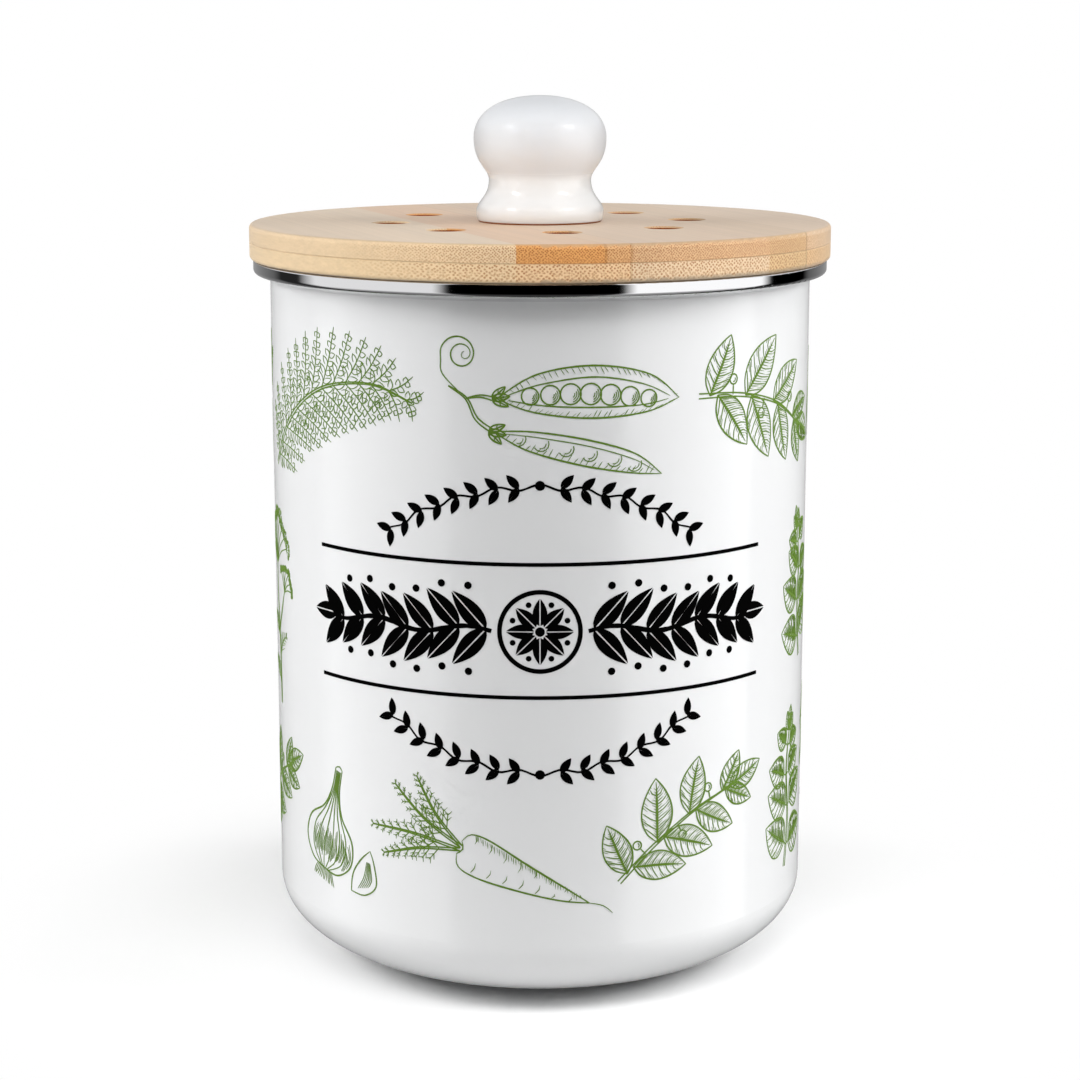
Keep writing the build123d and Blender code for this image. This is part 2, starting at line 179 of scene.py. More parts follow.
def mix_shaders(tree, factor, first, second):
    """The first shader where the factor is 0 and the second where it is 1."""
    node = tree.nodes.new("ShaderNodeMixShader")
    for socket, source in zip(node.inputs, (factor, first, second)):
        wire(tree, source, socket)
    return node.outputs[0]


def new_material(name, base, roughness, finish):
    """A node material, its tree and its Principled shader; finish sets more sockets by name."""
    material = bpy.data.materials.new(name)
    material.use_nodes = True
    shader = material.node_tree.nodes["Principled BSDF"]
    for socket, value in {"Base Color": (*base, 1), "Roughness": roughness, **finish}.items():
        shader.inputs[socket].default_value = value
    return material, material.node_tree, shader


def lay_floor():
    """The round table top, plain white to the camera towards its edge and clear from below."""
    corners = []
    for number in range(FLOOR_SIDES):
        turn = 2 * math.pi * number / FLOOR_SIDES
        corners.append((FLOOR_RADIUS * math.cos(turn), FLOOR_RADIUS * math.sin(turn), 0))
    mesh = bpy.data.meshes.new("floor")
    mesh.from_pydata(corners, [], [list(range(FLOOR_SIDES))])
    floor = put_in_scene("floor", mesh)
    paint, tree, shader = new_material("floor_white", FLOOR_TONE, 0.9, {"Specular IOR Level": 0.1})
    mesh.materials.append(paint)
    path = tree.nodes.new("ShaderNodeLightPath").outputs
    reach = length_of(tree, coordinates(tree))
    bounce = ramp_between(tree, reach, BOUNCE_START, BOUNCE_END, BOUNCE_NEAR, BOUNCE_FAR)
    tone = blend_colours(tree, path["Is Camera Ray"], bounce, FLOOR_TONE)
    wire(tree, tone, shader.inputs["Base Color"])
    fade = ramp_between(tree, reach, FADE_START, FADE_END)
    seen_white = reckon(tree, "MULTIPLY", fade, path["Is Camera Ray"])
    glow = tree.nodes.new("ShaderNodeEmission").outputs[0]
    clear = tree.nodes.new("ShaderNodeBsdfTransparent").outputs[0]
    below = tree.nodes.new("ShaderNodeNewGeometry").outputs["Backfacing"]
    above = mix_shaders(tree, seen_white, shader.outputs[0], glow)
    result = mix_shaders(tree, below, above, clear)
    wire(tree, result, tree.nodes["Material Output"].inputs["Surface"])
    floor.visible_glossy = False


def hang_lamp(name, place, size, power):
    """A soft rectangular lamp aimed at the pot, unseen in reflections; returns its object."""
    lamp = bpy.data.lights.new(name, "AREA")
    lamp.shape = "RECTANGLE"
    lamp.size, lamp.size_y = size
    lamp.energy = power
    holder = put_in_scene(name, lamp)
    holder.location = place
    aim = Vector(LAMP_AIM) - Vector(place)
    holder.rotation_euler = aim.to_track_quat("-Z", "Y").to_euler()
    holder.visible_glossy = False
    return holder


def light_only(lamp, state, pieces):
    """Makes a lamp light just these pieces, state INCLUDE, or all but them, state EXCLUDE."""
    chosen = bpy.data.collections.new(lamp.name)
    for piece in pieces:
        chosen.objects.link(piece)
    lamp.light_linking.receiver_collection = chosen
    for entry in chosen.collection_objects:
        entry.light_linking.link_state = state


def paint_world():
    """White to the camera, even fill light, and light and dark walls to shiny surfaces."""
    world = bpy.data.worlds.new("studio")
    bpy.context.scene.world = world
    world.use_nodes = True
    tree = world.node_tree
    tree.nodes.clear()
    path = tree.nodes.new("ShaderNodeLightPath").outputs
    parts = axes_of(tree, coordinates(tree, "Generated"))
    frontwards = reckon(tree, "MULTIPLY", parts["Y"], -1.0)
    azimuth = reckon(tree, "ARCTAN2", parts["X"], frontwards)
    share = reckon(tree, "MULTIPLY_ADD", azimuth, 0.5 / math.pi, 0.5)
    walls = [(0.5 + degrees / 360, (tone, tone, tone)) for degrees, tone in WALL_TONES]
    behind = ramp_between(tree, parts["Y"], -0.2, 0.2, 0.0, CEILING_TILT)
    overhead = ramp_between(tree, reckon(tree, "ADD", parts["Z"], behind), *CEILING_SPAN)
    seen = blend_colours(tree, overhead, colour_steps(tree, share, walls), CEILING_TONE)
    under = ramp_between(tree, parts["Z"], *GROUND_SPAN, GROUND_SHARE, 0.0)
    seen = blend_colours(tree, under, seen, GROUND_TONE)
    lights = []
    for tone in ((*WORLD_FILL, 1), seen, (1, 1, 1, 1)):
        background = tree.nodes.new("ShaderNodeBackground")
        set_or_wire(tree, background.inputs["Color"], tone)
        lights.append(background.outputs[0])
    shiny_ray = reckon(tree, "MAXIMUM", path["Is Glossy Ray"], path["Is Transmission Ray"])
    unseen = mix_shaders(tree, shiny_ray, lights[0], lights[1])
    result = mix_shaders(tree, path["Is Camera Ray"], unseen, lights[2])
    wire(tree, result, tree.nodes.new("ShaderNodeOutputWorld").inputs["Surface"])


lay_floor()
paint_world()
for name, place, size, power in (
    ("right_lamp", (0.90, -0.10, 0.60), (0.5, 0.5), 6.9),
    ("left_lamp", (-0.90, -0.10, 0.60), (0.5, 0.5), 5.6),
    ("rear_right_lamp", (0.90, 0.33, 0.25), (0.8, 0.7), 3.7),
    ("rear_left_lamp", (-0.90, 0.33, 0.25), (0.8, 0.7), 5.0),
    ("high_lamp", (0.10, -0.60, 1.25), (1.3, 0.4), 8.5),
    ("front_lamp", (0, -0.95, 1.05), (1.0, 0.5), 1.7),
):
    light_only(hang_lamp(name, place, size, power), "EXCLUDE", [cad["knob"]])
board_lamp = hang_lamp("board_lamp", (0, -1.0, 0.28), (0.8, 0.3), 4.2)
light_only(board_lamp, "INCLUDE", [cad["lid_upper_ply"], cad["lid_lower_ply"]])
for name, place, size, power in (
    ("knob_lamp", (0, -1.0, 0.32), (2.2, 0.4), 8.6),
    ("knob_left_lamp", (-0.9, -0.20, 0.30), (0.5, 0.5), 3.8),
    ("knob_right_lamp", (0.9, -0.20, 0.30), (0.5, 0.5), 4.1),
    ("knob_top_lamp", (0, -0.25, 1.20), (1.0, 0.8), 4.0),
    ("knob_back_lamp", (0, 1.0, 0.35), (1.2, 0.4), 6.0),
    ("knob_left_spark", (-0.70, -0.42, 0.80), (0.26, 0.18), 1.2),
    ("knob_right_spark", (0.70, -0.42, 0.80), (0.26, 0.18), 1.2),
):
    lamp = hang_lamp(name, place, size, power)
    light_only(lamp, "INCLUDE", [cad["knob"]])
    lamp.visible_glossy = name.endswith("spark")


# Pot. Drawn steel fired with white enamel inside and out: hard gloss over a faint
# ripple, with small grey stilt marks from the kiln under the base.
ENAMEL_WHITE = (0.90, 0.905, 0.91)
BARE_IRON = (0.06, 0.06, 0.065)
RIPPLE_SIZE = 0.012
STILT_COUNT = 3
STILT_TURN = 0.75
STILT_REACH = 0.040
SPECK_CORE = 0.0006
SPECK_EDGE = 0.0013
FOOT_HEIGHT = 0.001


def cover(piece, material):
    """Gives a piece one material in place of those it has."""
    piece.data.materials.clear()
    piece.data.materials.append(material)


def noise(tree, vector, scale, detail=3.0, roughness=0.5):
    """A noise texture; returns its value."""
    node = tree.nodes.new("ShaderNodeTexNoise")
    for name, number in (("Scale", scale), ("Detail", detail), ("Roughness", roughness)):
        node.inputs[name].default_value = number
    wire(tree, vector, node.inputs["Vector"])
    return node.outputs["Fac"]


def bump(tree, shader, height, depth, distance=0.001):
    """Feeds a height to the shader's normal through a bump node."""
    node = tree.nodes.new("ShaderNodeBump")
    node.inputs["Strength"].default_value = depth
    node.inputs["Distance"].default_value = distance
    wire(tree, height, node.inputs["Height"])
    wire(tree, node.outputs["Normal"], shader.inputs["Normal"])


def reach_from_axis(tree, parts):
    """The distance from the pot's axis, from the x and y of a place."""
    return length_of(tree, vector_from(tree, X=parts["X"], Y=parts["Y"]))


def stilt_marks(tree):
    """Dark specks at even steps round the foot, where the kiln's stilts held the pot."""
    parts = axes_of(tree, coordinates(tree))
    turn = reckon(tree, "ARCTAN2", parts["Y"], parts["X"])
    steps = reckon(tree, "MULTIPLY_ADD", turn, STILT_COUNT / (2 * math.pi), STILT_TURN)
    off = reckon(tree, "SUBTRACT", reckon(tree, "FRACT", steps), 0.5)
    arc = reckon(tree, "MULTIPLY", off, 2 * math.pi * STILT_REACH / STILT_COUNT)
    outwards = reckon(tree, "SUBTRACT", reach_from_axis(tree, parts), STILT_REACH)
    away = length_of(tree, vector_from(tree, X=arc, Y=outwards))
    near = ramp_between(tree, away, SPECK_CORE, SPECK_EDGE, 1.0, 0.0)
    return reckon(tree, "MULTIPLY", near, reckon(tree, "LESS_THAN", parts["Z"], FOOT_HEIGHT))


enamel, tree, shader = new_material("white_enamel", ENAMEL_WHITE, 0.14, {
    "Coat Weight": 0.35, "Coat Roughness": 0.05,
})
fired = blend_colours(tree, stilt_marks(tree), ENAMEL_WHITE, BARE_IRON)
wire(tree, fired, shader.inputs["Base Color"])
bump(tree, shader, noise(tree, coordinates(tree), 1 / RIPPLE_SIZE, 2.0), 0.05)
cover(cad["pot_shell"], enamel)


# Print. A ceramic transfer, drawn flat on paper that wraps the pot and fired on: green
# line drawings of kitchen plants, two black rules, and a black garland between them.
# Paper sizes are in millimetres: x runs round the pot from the middle of its front.
FILM_HEIGHT = 0.00006
LEAF_GREEN = (0.128, 0.231, 0.032)
RULE_BLACK = (0.001, 0.001, 0.001)
LIP_REACH = 0.00392
POT_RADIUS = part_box("pot_shell")[1][0] - LIP_REACH
NIB_WIDTH = 2.0
NIB_THICKNESS = 0.2
LINE = 0.40
FINE_LINE = 0.27
hand = random.Random(7)


def new_group(name, kind, inputs, outputs):
    """A node group with sockets by name and type; returns it, what it is given, and what it tells."""
    group = bpy.data.node_groups.new(name, kind)
    for way, sockets in (("INPUT", inputs), ("OUTPUT", outputs)):
        for label, sort in sockets.items():
            group.interface.new_socket(label, in_out=way, socket_type="NodeSocket" + sort)
    given = group.nodes.new("NodeGroupInput").outputs
    told = group.nodes.new("NodeGroupOutput").inputs
    return group, given, told


def work_on(group, geometry, kind):
    """A geometry node that works on a geometry; returns the node."""
    node = group.nodes.new("GeometryNode" + kind)
    wire(group, geometry, node.inputs[0])
    return node


def wrap_group():
    """Inks every polyline as a flat ribbon and wraps the paper round the pot. The nib is two
    half widths wide, and its thickness only tells the face of the film from its back."""
    group, given, told = new_group(
        "transfer_wrap", "GeometryNodeTree",
        {"Geometry": "Geometry", "Pot Radius": "Float", "Film Height": "Float", "Ink": "Material"},
        {"Geometry": "Geometry"},
    )
    lines = work_on(group, given["Geometry"], "MeshToCurve")
    upright = work_on(group, lines.outputs[0], "SetCurveNormal")
    upright.mode = "Z_UP"
    nib = group.nodes.new("GeometryNodeCurvePrimitiveQuadrilateral")
    nib.inputs["Width"].default_value = NIB_WIDTH
    nib.inputs["Height"].default_value = NIB_THICKNESS
    width = group.nodes.new("GeometryNodeInputNamedAttribute")
    width.data_type = "FLOAT"
    width.inputs["Name"].default_value = "half_width"
    ribbon = work_on(group, upright.outputs[0], "CurveToMesh")
    wire(group, nib.outputs[0], ribbon.inputs["Profile Curve"])
    wire(group, width.outputs["Attribute"], ribbon.inputs["Scale"])
    ribbon.inputs["Fill Caps"].default_value = True
    parts = axes_of(group, group.nodes.new("GeometryNodeInputPosition").outputs[0])
    side = reckon(group, "SIGN", parts["Z"])
    reach = reckon(group, "MULTIPLY_ADD", side, given["Film Height"], given["Pot Radius"])
    turn = reckon(group, "DIVIDE", parts["X"], given["Pot Radius"])
    sideways = reckon(group, "MULTIPLY", reckon(group, "SINE", turn), reach)
    frontwards = reckon(group, "MULTIPLY", reckon(group, "COSINE", turn), reach)
    backwards = reckon(group, "MULTIPLY", frontwards, -1.0)
    move = work_on(group, ribbon.outputs[0], "SetPosition")
    wire(group, vector_from(group, X=sideways, Y=backwards, Z=parts["Y"]), move.inputs["Position"])
    real = work_on(group, move.outputs[0], "RealizeInstances")
    flat = work_on(group, real.outputs[0], "SetShadeSmooth")
    flat.inputs["Shade Smooth"].default_value = False
    inked = work_on(group, flat.outputs[0], "SetMaterial")
    wire(group, given["Ink"], inked.inputs["Material"])
    wire(group, inked.outputs[0], told["Geometry"])
    return group


transfer_wrap = wrap_group()


def made_plain(name, source, group, values):
    """Runs a geometry group on a source object and returns the result as a plain mesh piece."""
    modifier = source.modifiers.new("make", "NODES")
    modifier.node_group = group
    for item in group.interface.items_tree:
        if item.in_out == "INPUT" and item.name in values:
            modifier[item.identifier] = values[item.name]
    bpy.context.view_layer.update()
    depsgraph = bpy.context.evaluated_depsgraph_get()
    mesh = bpy.data.meshes.new_from_object(source.evaluated_get(depsgraph), depsgraph=depsgraph)
    bpy.data.objects.remove(source)
    mesh.name = name
    return put_in_scene(name, mesh)


def print_on_pot(name, strokes, ink):
    """Prints strokes, each a list of (x, y, half width) in paper millimetres."""
    points, edges, widths = [], [], []
    for marks in strokes:
        first = len(points)
        for x, y, half_width in marks:
            points.append((x / 1000, y / 1000, 0))
            widths.append(half_width / 1000)
        edges += [(first + n, first + n + 1) for n in range(len(marks) - 1)]
    mesh = bpy.data.meshes.new(name)
    mesh.from_pydata(points, edges, [])
    mesh.attributes.new("half_width", "FLOAT", "POINT").data.foreach_set("value", widths)
    piece = made_plain(name, put_in_scene(name + "_paper", mesh), transfer_wrap, {
        "Pot Radius": POT_RADIUS, "Film Height": FILM_HEIGHT, "Ink": ink,
    })
    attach(piece, "pot")


def curve_through(corners, step=0.9):
    """Points every step or so along a smooth curve through the corners."""
    padded = [corners[0], *corners, corners[-1]]
    path = []
    for before, start, end, after in zip(padded, padded[1:], padded[2:], padded[3:]):
        run = math.dist(start, end)
        count = max(1, round(run / step))
        for n in range(count):
            t = n / count
            point = []
            for a, b, c, d in zip(before, start, end, after):
                bend = 2 * a - 5 * b + 4 * c - d
                twist = 3 * b - a - 3 * c + d
                point.append(0.5 * (2 * b + (c - a) * t + bend * t * t + twist * t ** 3))
            path.append(tuple(point))
    return [*path, tuple(corners[-1])]


def pen(corners, width=LINE, start=0.5, end=0.25, step=0.9):
    """One pen line: start and end are the shares of its width left at its ends."""
    path = curve_through(corners, step)
    last = max(1, len(path) - 1)
    marks = []
    for n, (x, y) in enumerate(path):
        t = n / last
        swell = math.sin(math.pi * t) ** 0.6 if 0 < t < 1 else 0
        share = (start * (1 - t) + end * t) * (1 - swell) + swell
        marks.append((x, y, width / 2 * share * hand.uniform(0.9, 1.1)))
    return marks


def onward(x, y, heading, run):
    """The point a run away from x, y, on a heading in degrees from the x axis."""
    turn = math.radians(heading)
    return x + run * math.cos(turn), y + run * math.sin(turn)


def blot(x, y, radius):
    """A filled round dot."""
    turns = (-80, -50, -20, 10, 40, 62, 80)
    return [
        (x + radius * math.sin(math.radians(turn)), y, radius * math.cos(math.radians(turn)))
        for turn in turns
    ]


def ring(x, y, radius, width=LINE, first=0, last=360):
    """A round or part-round pen line."""
    count = max(6, round(abs(last - first) * radius / 45))
    turns = [first + (last - first) * n / count for n in range(count + 1)]
    return [(*onward(x, y, turn, radius), width / 2) for turn in turns]


def moved(strokes, x, y, turn=0.0, size=1.0, flip=False):
    """Strokes turned by degrees, sized, mirrored if asked, and put down at x, y."""
    cosine, sine = math.cos(math.radians(turn)), math.sin(math.radians(turn))
    result = []
    for marks in strokes:
        placed = []
        for px, py, half_width in marks:
            px, py = (-px if flip else px) * size, py * size
            placed.append((x + px * cosine - py * sine, y + px * sine + py * cosine, half_width))
        result.append(placed)
    return result


class Leaf:
    """A leaf blade that grows along +y from its stalk, bent to one side."""

    def __init__(self, length, half_width, bend=0.0, fullness=1.0):
        self.length = length
        self.half_width = half_width
        self.bend = bend
        self.fullness = fullness

    def at(self, t, side):
        """The point a share t along the blade, and a share side of the way to its edge."""
        middle = self.bend * math.sin(math.pi * t * 0.75)
        across = self.half_width * math.sin(math.pi * min(t, 1) ** self.fullness) ** 0.85
        return (middle + side * across, self.length * t)

    def edge(self, side, width):
        """The outline of one half."""
        return pen([self.at(n / 8, side) for n in range(9)], width, 0.8, 0.6)

    def drawn(self, veins=6, hatches=3, shade=1):
        """Outline, midrib, side veins and fine hatching, heavier on the shaded half."""
        yield self.edge(-1, LINE)
        yield self.edge(1, LINE * 1.2)
        yield pen([self.at(n / 6 * 0.94, 0.03) for n in range(7)], LINE, 1.2, 0.3)
        yield pen([self.at(n / 6 * 0.80, -0.05) for n in range(7)], FINE_LINE, 1.2, 0.2)
        step = 0.80 / veins
        for side in (-1, 1):
            for n in range(veins):
                t = 0.06 + step * n
                rise = 0.21 - 0.09 * n / veins
                bend = self.at(t + rise * 0.30, side * 0.42)
                corners = [self.at(t, 0), bend, self.at(t + rise * 0.88, side * 0.93)]
                yield pen(corners, FINE_LINE * 1.15, 1.1, 0.4, 1.2)
                for k in range(hatches):
                    shift = t + step * (k + 1) / (hatches + 1)
                    far = hand.uniform(*((0.34, 0.72) if side == shade else (0.16, 0.38)))
                    end = self.at(shift + rise * far * 0.8, side * far)
                    yield pen([self.at(shift, 0.02 * side), end], FINE_LINE * 0.85, 1.0, 0.2, 1.6)
                    if (k + n) % 2 or side == shade:
                        near = hand.uniform(0.62, 0.76)
                        start = self.at(shift + rise * near * 0.8, side * near)
                        end = self.at(shift + rise * 0.86, side * 0.95)
                        yield pen([start, end], FINE_LINE * 0.8, 0.3, 0.9, 1.6)

    def grown(self, x, y, heading, *details):
        """The leaf drawn with its stalk at x, y and its blade on a heading in degrees."""
        return moved(self.drawn(*details), x, y, heading - 90)


def along(corners, share):
    """The point and the heading in degrees a share of the way along a smooth curve."""
    path = curve_through(corners, 0.5)
    place = min(len(path) - 2, int(share * (len(path) - 1)))
    (x, y), (ahead_x, ahead_y) = path[place], path[place + 1]
    return x, y, math.degrees(math.atan2(ahead_y - y, ahead_x - x))


def double_stem(corners, width):
    """A stem drawn as two lines a width apart that meet at its tip."""
    path = curve_through(corners, 1.5)
    left, right = [], []
    for n, (x, y) in enumerate(path):
        near, far = path[max(0, n - 1)], path[min(len(path) - 1, n + 1)]
        run = math.dist(near, far)
        half = width / 2 * (1 - 0.8 * n / (len(path) - 1))
        across, down = (far[1] - near[1]) / run * half, (far[0] - near[0]) / run * half
        left.append((x - across, y + down))
        right.append((x + across, y - down))
    return [pen(left, LINE, 0.9, 0.5), pen(right, LINE, 0.9, 0.5)]


def bay_twig():
    """A leaning twig of long pointed leaves with a few berries; about 56 by 34."""
    stem = [(0, 0), (13, 6), (28, 10), (43, 10.5)]
    yield from double_stem(stem, 1.2)
    plan = (
        (0.10, 68, 16, 4.2), (0.16, -50, 17, 4.3), (0.36, 56, 19, 4.9), (0.42, -54, 18, 4.7),
        (0.64, 50, 17, 4.4), (0.70, -48, 16, 4.2), (0.90, 42, 13, 3.4), (0.94, -40, 12.5, 3.2),
        (0.99, 2, 15, 3.6),
    )
    for share, lean, length, half_width in plan:
        x, y, heading = along(stem, share)
        leaf = Leaf(length, half_width, hand.uniform(-0.9, 0.9), 0.85)
        yield from leaf.grown(x, y, heading + lean, 6, 2, 1 if lean > 0 else -1)
    for share, lean in ((0.26, 92), (0.54, -96), (0.80, 84)):
        x, y, heading = along(stem, share)
        yield pen([(x, y), onward(x, y, heading + lean, 2.8)])
        berry = onward(x, y, heading + lean, 3.8)
        yield ring(*berry, 1.3)
        yield ring(*berry, 0.6, FINE_LINE, -80, 60)


def round_sprig():
    """An upright sprig of paired round leaves; about 30 by 46."""
    stem = [(0, 0), (1.4, 14), (-1.0, 28), (0.4, 39)]
    yield from double_stem(stem, 1.2)
    pairs = ((0.18, 14, 5.8), (0.44, 13, 5.4), (0.67, 10.5, 4.5), (0.86, 7.5, 3.3))
    for share, length, half_width in pairs:
        for lean in (-64, 64):
            x, y, heading = along(stem, share)
            turn = heading + lean + hand.uniform(-6, 6)
            foot = onward(x, y, turn, 1.8)
            yield pen([(x, y), foot], LINE * 1.3)
            leaf = Leaf(length, half_width, hand.uniform(-0.5, 0.5), 0.72)
            yield from leaf.grown(*foot, turn, 5, 3, 1 if lean > 0 else -1)
    for lean, length in ((-30, 5.5), (28, 5.8), (0, 7.0)):
        x, y, heading = along(stem, 0.99)
        yield from Leaf(length, 2.0, 0, 0.75).grown(x, y, heading + lean, 3, 1)


def seed_umbel():
    """A tall stalk of seed heads that spread like ribs of an umbrella; about 30 by 62."""
    stem = [(0, 0), (0.8, 20), (-0.4, 34), (0.3, 44)]
    yield from double_stem(stem, 1.3)
    yield pen([(0.2, 2), (0.9, 20), (-0.2, 34)], FINE_LINE)
    top_x, top_y, _ = along(stem, 0.999)
    heads = [(top_x, top_y, turn, hand.uniform(12.5, 15.5)) for turn in range(22, 160, 15)]
    fork_x, fork_y, _ = along(stem, 0.52)
    yield from double_stem([(fork_x, fork_y), (5, 29), (9.5, 35.5)], 0.8)
    heads += [(9.5, 35.5, turn, hand.uniform(6, 7.5)) for turn in range(5, 125, 22)]
    for x, y, turn, length in heads:
        end = onward(x, y, turn, length)
        half_way = onward(x, y, turn + (8 if turn < 90 else -8), length * 0.55)
        yield pen([(x, y), half_way, end], LINE * 0.9, 0.9, 0.7)
        for lean in range(-75, 76, 25):
            tip = onward(*end, turn + lean, length * 0.22 + hand.uniform(-0.3, 0.3))
            yield pen([end, tip], FINE_LINE * 0.8)
            yield blot(*tip, hand.uniform(0.45, 0.65))
    for side, share in ((-1, 0.16), (1, 0.33), (-1, 0.46)):
        x, y, _ = along(stem, share)
        rib = [(x, y), (x + side * 4, y + 5), (x + side * 9, y + 7.5)]
        yield pen(rib, LINE, 1.0, 0.4)
        for part in (0.25, 0.42, 0.58, 0.74, 0.88, 0.98):
            px, py, course = along(rib, part)
            for lean in (-38, 38):
                tip = onward(px, py, course + lean, 6.5 - 5.2 * part)
                yield pen([(px, py), tip], FINE_LINE * 0.9, 1.0, 0.4)


def pea_pods():
    """An open pod over a closed one, with their curled tendril; about 48 by 30."""
    back = [(0, 0), (10, 5.8), (24, 7.6), (38, 4.8), (46, -1.5)]
    belly = [(0, 0), (9, -3.4), (23, -5.2), (37, -4.4), (46, -1.5)]
    lip = [(2.5, 0.7), (11, 3.4), (24, 4.8), (36, 2.6), (43.5, -0.9)]
    for edge, width in ((back, LINE * 1.2), (belly, LINE * 1.2), (lip, LINE)):
        yield pen(edge, width)
    yield pen([(3, -0.5), (12, -1.9), (24, -2.6), (36, -2.6), (43, -1.6)])
    for n in range(7):
        t = n / 6
        x = 8.2 + 29.5 * t
        y = 0.5 + 1.0 * math.sin(math.pi * t) - 1.6 * t
        radius = 1.7 + 0.9 * math.sin(math.pi * (0.15 + 0.7 * t))
        yield ring(x, y, radius)
        for k in range(3):
            shine = (-75 + 10 * k, 35 - 10 * k)
            yield ring(x, y, radius * (0.78 - 0.2 * k), FINE_LINE * 0.9, *shine)
    for n in range(34):
        t = 0.05 + 0.9 * n / 33
        depth = math.sin(math.pi * min(1, 0.15 + t * 0.8))
        x, y, _ = along(back, t)
        yield pen([(x, y - 0.2), (x + 0.9, y - hand.uniform(1.2, 2.4) * depth)], FINE_LINE * 0.8)
        x, y, _ = along(belly, t)
        yield pen([(x, y + 0.2), (x + 1.0, y + hand.uniform(0.8, 2.0) * depth)], FINE_LINE * 0.8)
    lower_back = [(-1, -8), (9, -8.2), (22, -10.5), (34, -14.5), (41, -20)]
    lower_belly = [(-1, -8), (7, -12.6), (20, -16.6), (33, -19.2), (41, -20)]
    yield pen(lower_back, LINE * 1.2)
    yield pen(lower_belly, LINE * 1.2)
    yield pen([(2, -8.6), (10, -9.6), (22, -12), (33, -15.6), (39, -19)], FINE_LINE)
    for n in range(6):
        t = 0.16 + 0.66 * n / 5
        ax, ay, _ = along(lower_back, t)
        bx, by, _ = along(lower_belly, t)
        middle = ((ax + bx) / 2, (ay + by) / 2)
        yield ring(*middle, 1.9, FINE_LINE, -150, 20)
        yield ring(*middle, 1.2, FINE_LINE * 0.8, -110, 0)
    for n in range(26):
        x, y, _ = along(lower_belly, 0.08 + 0.84 * n / 25)
        yield pen([(x, y + 0.2), (x + 1.1, y + hand.uniform(1.0, 2.2))], FINE_LINE * 0.8)
    for cup_x, cup_y, turn in ((-1, 0, 8), (-2, -8, -12)):
        for lean in (-34, 0, 34):
            yield from Leaf(4.4, 0.9, 0, 0.7).grown(cup_x, cup_y, turn + lean, 2, 0)
    yield from double_stem([(-1, -8), (-5, -5), (-7.5, 0), (-12, 3)], 1.0)
    yield from double_stem([(-1, 0), (-4, 0.6), (-7.5, 0)], 0.9)
    curl = [onward(-9.5 + 0.10 * n, 11, 200 - 38 * n, 4.6 * (1 - n / 24)) for n in range(22)]
    yield pen([(-9.5, 1.8), (-13.5, 6), *curl], step=0.6)


def fern_frond():
    """An arching frond whose side fronds shorten to its tip; about 56 by 30."""
    rib = [(0, 0), (14, 9), (30, 13.5), (46, 12), (56, 6)]
    yield from double_stem(rib, 0.9)
    pairs = 14
    for n in range(pairs):
        share = 0.08 + 0.88 * n / (pairs - 1)
        length = 14.5 * math.sin(math.pi * (0.22 + 0.74 * share)) ** 0.9 + 1.2
        for lean in (-62, 62):
            x, y, heading = along(rib, share)
            turn = heading + lean * (1 - 0.25 * share)
            side = [(0, 0), (length * 0.5, 0.5 if lean < 0 else -0.5), (length, 0)]
            fine = [pen(side, FINE_LINE * 1.1, 1.0, 0.4)]
            count = max(3, round(length / 2.3))
            for k in range(count):
                t = 0.14 + 0.82 * k / count
                px, py, _ = along(side, t)
                lobe = 2.9 * (1.05 - t) * min(1, length / 10) + 0.6
                for tilt in (-55, 55):
                    outline = Leaf(lobe, 0.62, 0, 0.8)
                    loop = [outline.at(m / 4, 1) for m in range(5)]
                    loop += [outline.at(m / 4, -1) for m in (3, 2, 1)]
                    fine += moved([pen(loop, FINE_LINE)], px, py, tilt - 90)
            yield from moved(fine, x, y, turn)


def carrot():
    """A tapered root with ring marks and a feathery top; about 20 by 62, root down."""
    left = [(0, 0), (-2.0, 7), (-3.9, 18), (-5.2, 28), (-4.6, 33), (-1.8, 34.6)]
    right = [(0, 0), (1.4, 7), (3.3, 18), (4.9, 28), (4.4, 33), (1.8, 34.6)]
    yield pen(left, LINE * 1.2)
    yield pen(right, LINE * 1.3)
    yield pen([(-1.8, 34.6), (0, 33.6), (1.8, 34.6)])
    yield pen([(0, 0), (0.5, -3.5), (-0.4, -6.5)], FINE_LINE)
    for n in range(15):
        y = 3 + 2.05 * n
        reach = 0.35 + 4.7 * (y / 34) ** 0.75
        start = -reach if n % 2 else reach
        run = hand.uniform(-0.95, -0.45) * start
        corners = [(start, y), (start + run * 0.55, y - 0.5), (start + run, y - 0.3)]
        yield pen(corners, FINE_LINE)
    for n in range(44):
        y = 4 + 28 * n / 43
        reach = 0.25 + 4.7 * (y / 34) ** 0.75
        yield pen([(reach, y), (reach - hand.uniform(0.8, 1.9), y - 0.7)], FINE_LINE * 0.75)
    for lean, length in ((-26, 20), (-9, 24), (8, 22), (25, 19)):
        base = math.radians(90 - lean)
        side = 1 if lean > 0 else -1
        rib = [
            (side * 0.4, 34.2),
            (length * 0.5 * math.cos(base) + side * 0.8, 34.2 + length * 0.52 * math.sin(base)),
            (length * math.cos(base) + side * 3.2, 34.2 + length * math.sin(base)),
        ]
        yield from double_stem(rib, 0.7)
        for k in range(9):
            share = 0.30 + 0.68 * k / 8
            x, y, heading = along(rib, share)
            for tilt in (-46, 46):
                turn = heading + tilt
                reach = 4.6 * (1.2 - share)
                yield pen([(x, y), onward(x, y, turn, reach)], FINE_LINE, 1.0, 0.5)
                for part in (0.5, 0.85):
                    node = onward(x, y, turn, reach * part)
                    for fork in (-40, 40):
                        end = onward(*node, turn + fork, reach * 0.36)
                        yield pen([node, end], FINE_LINE * 0.8, 1.0, 0.5)


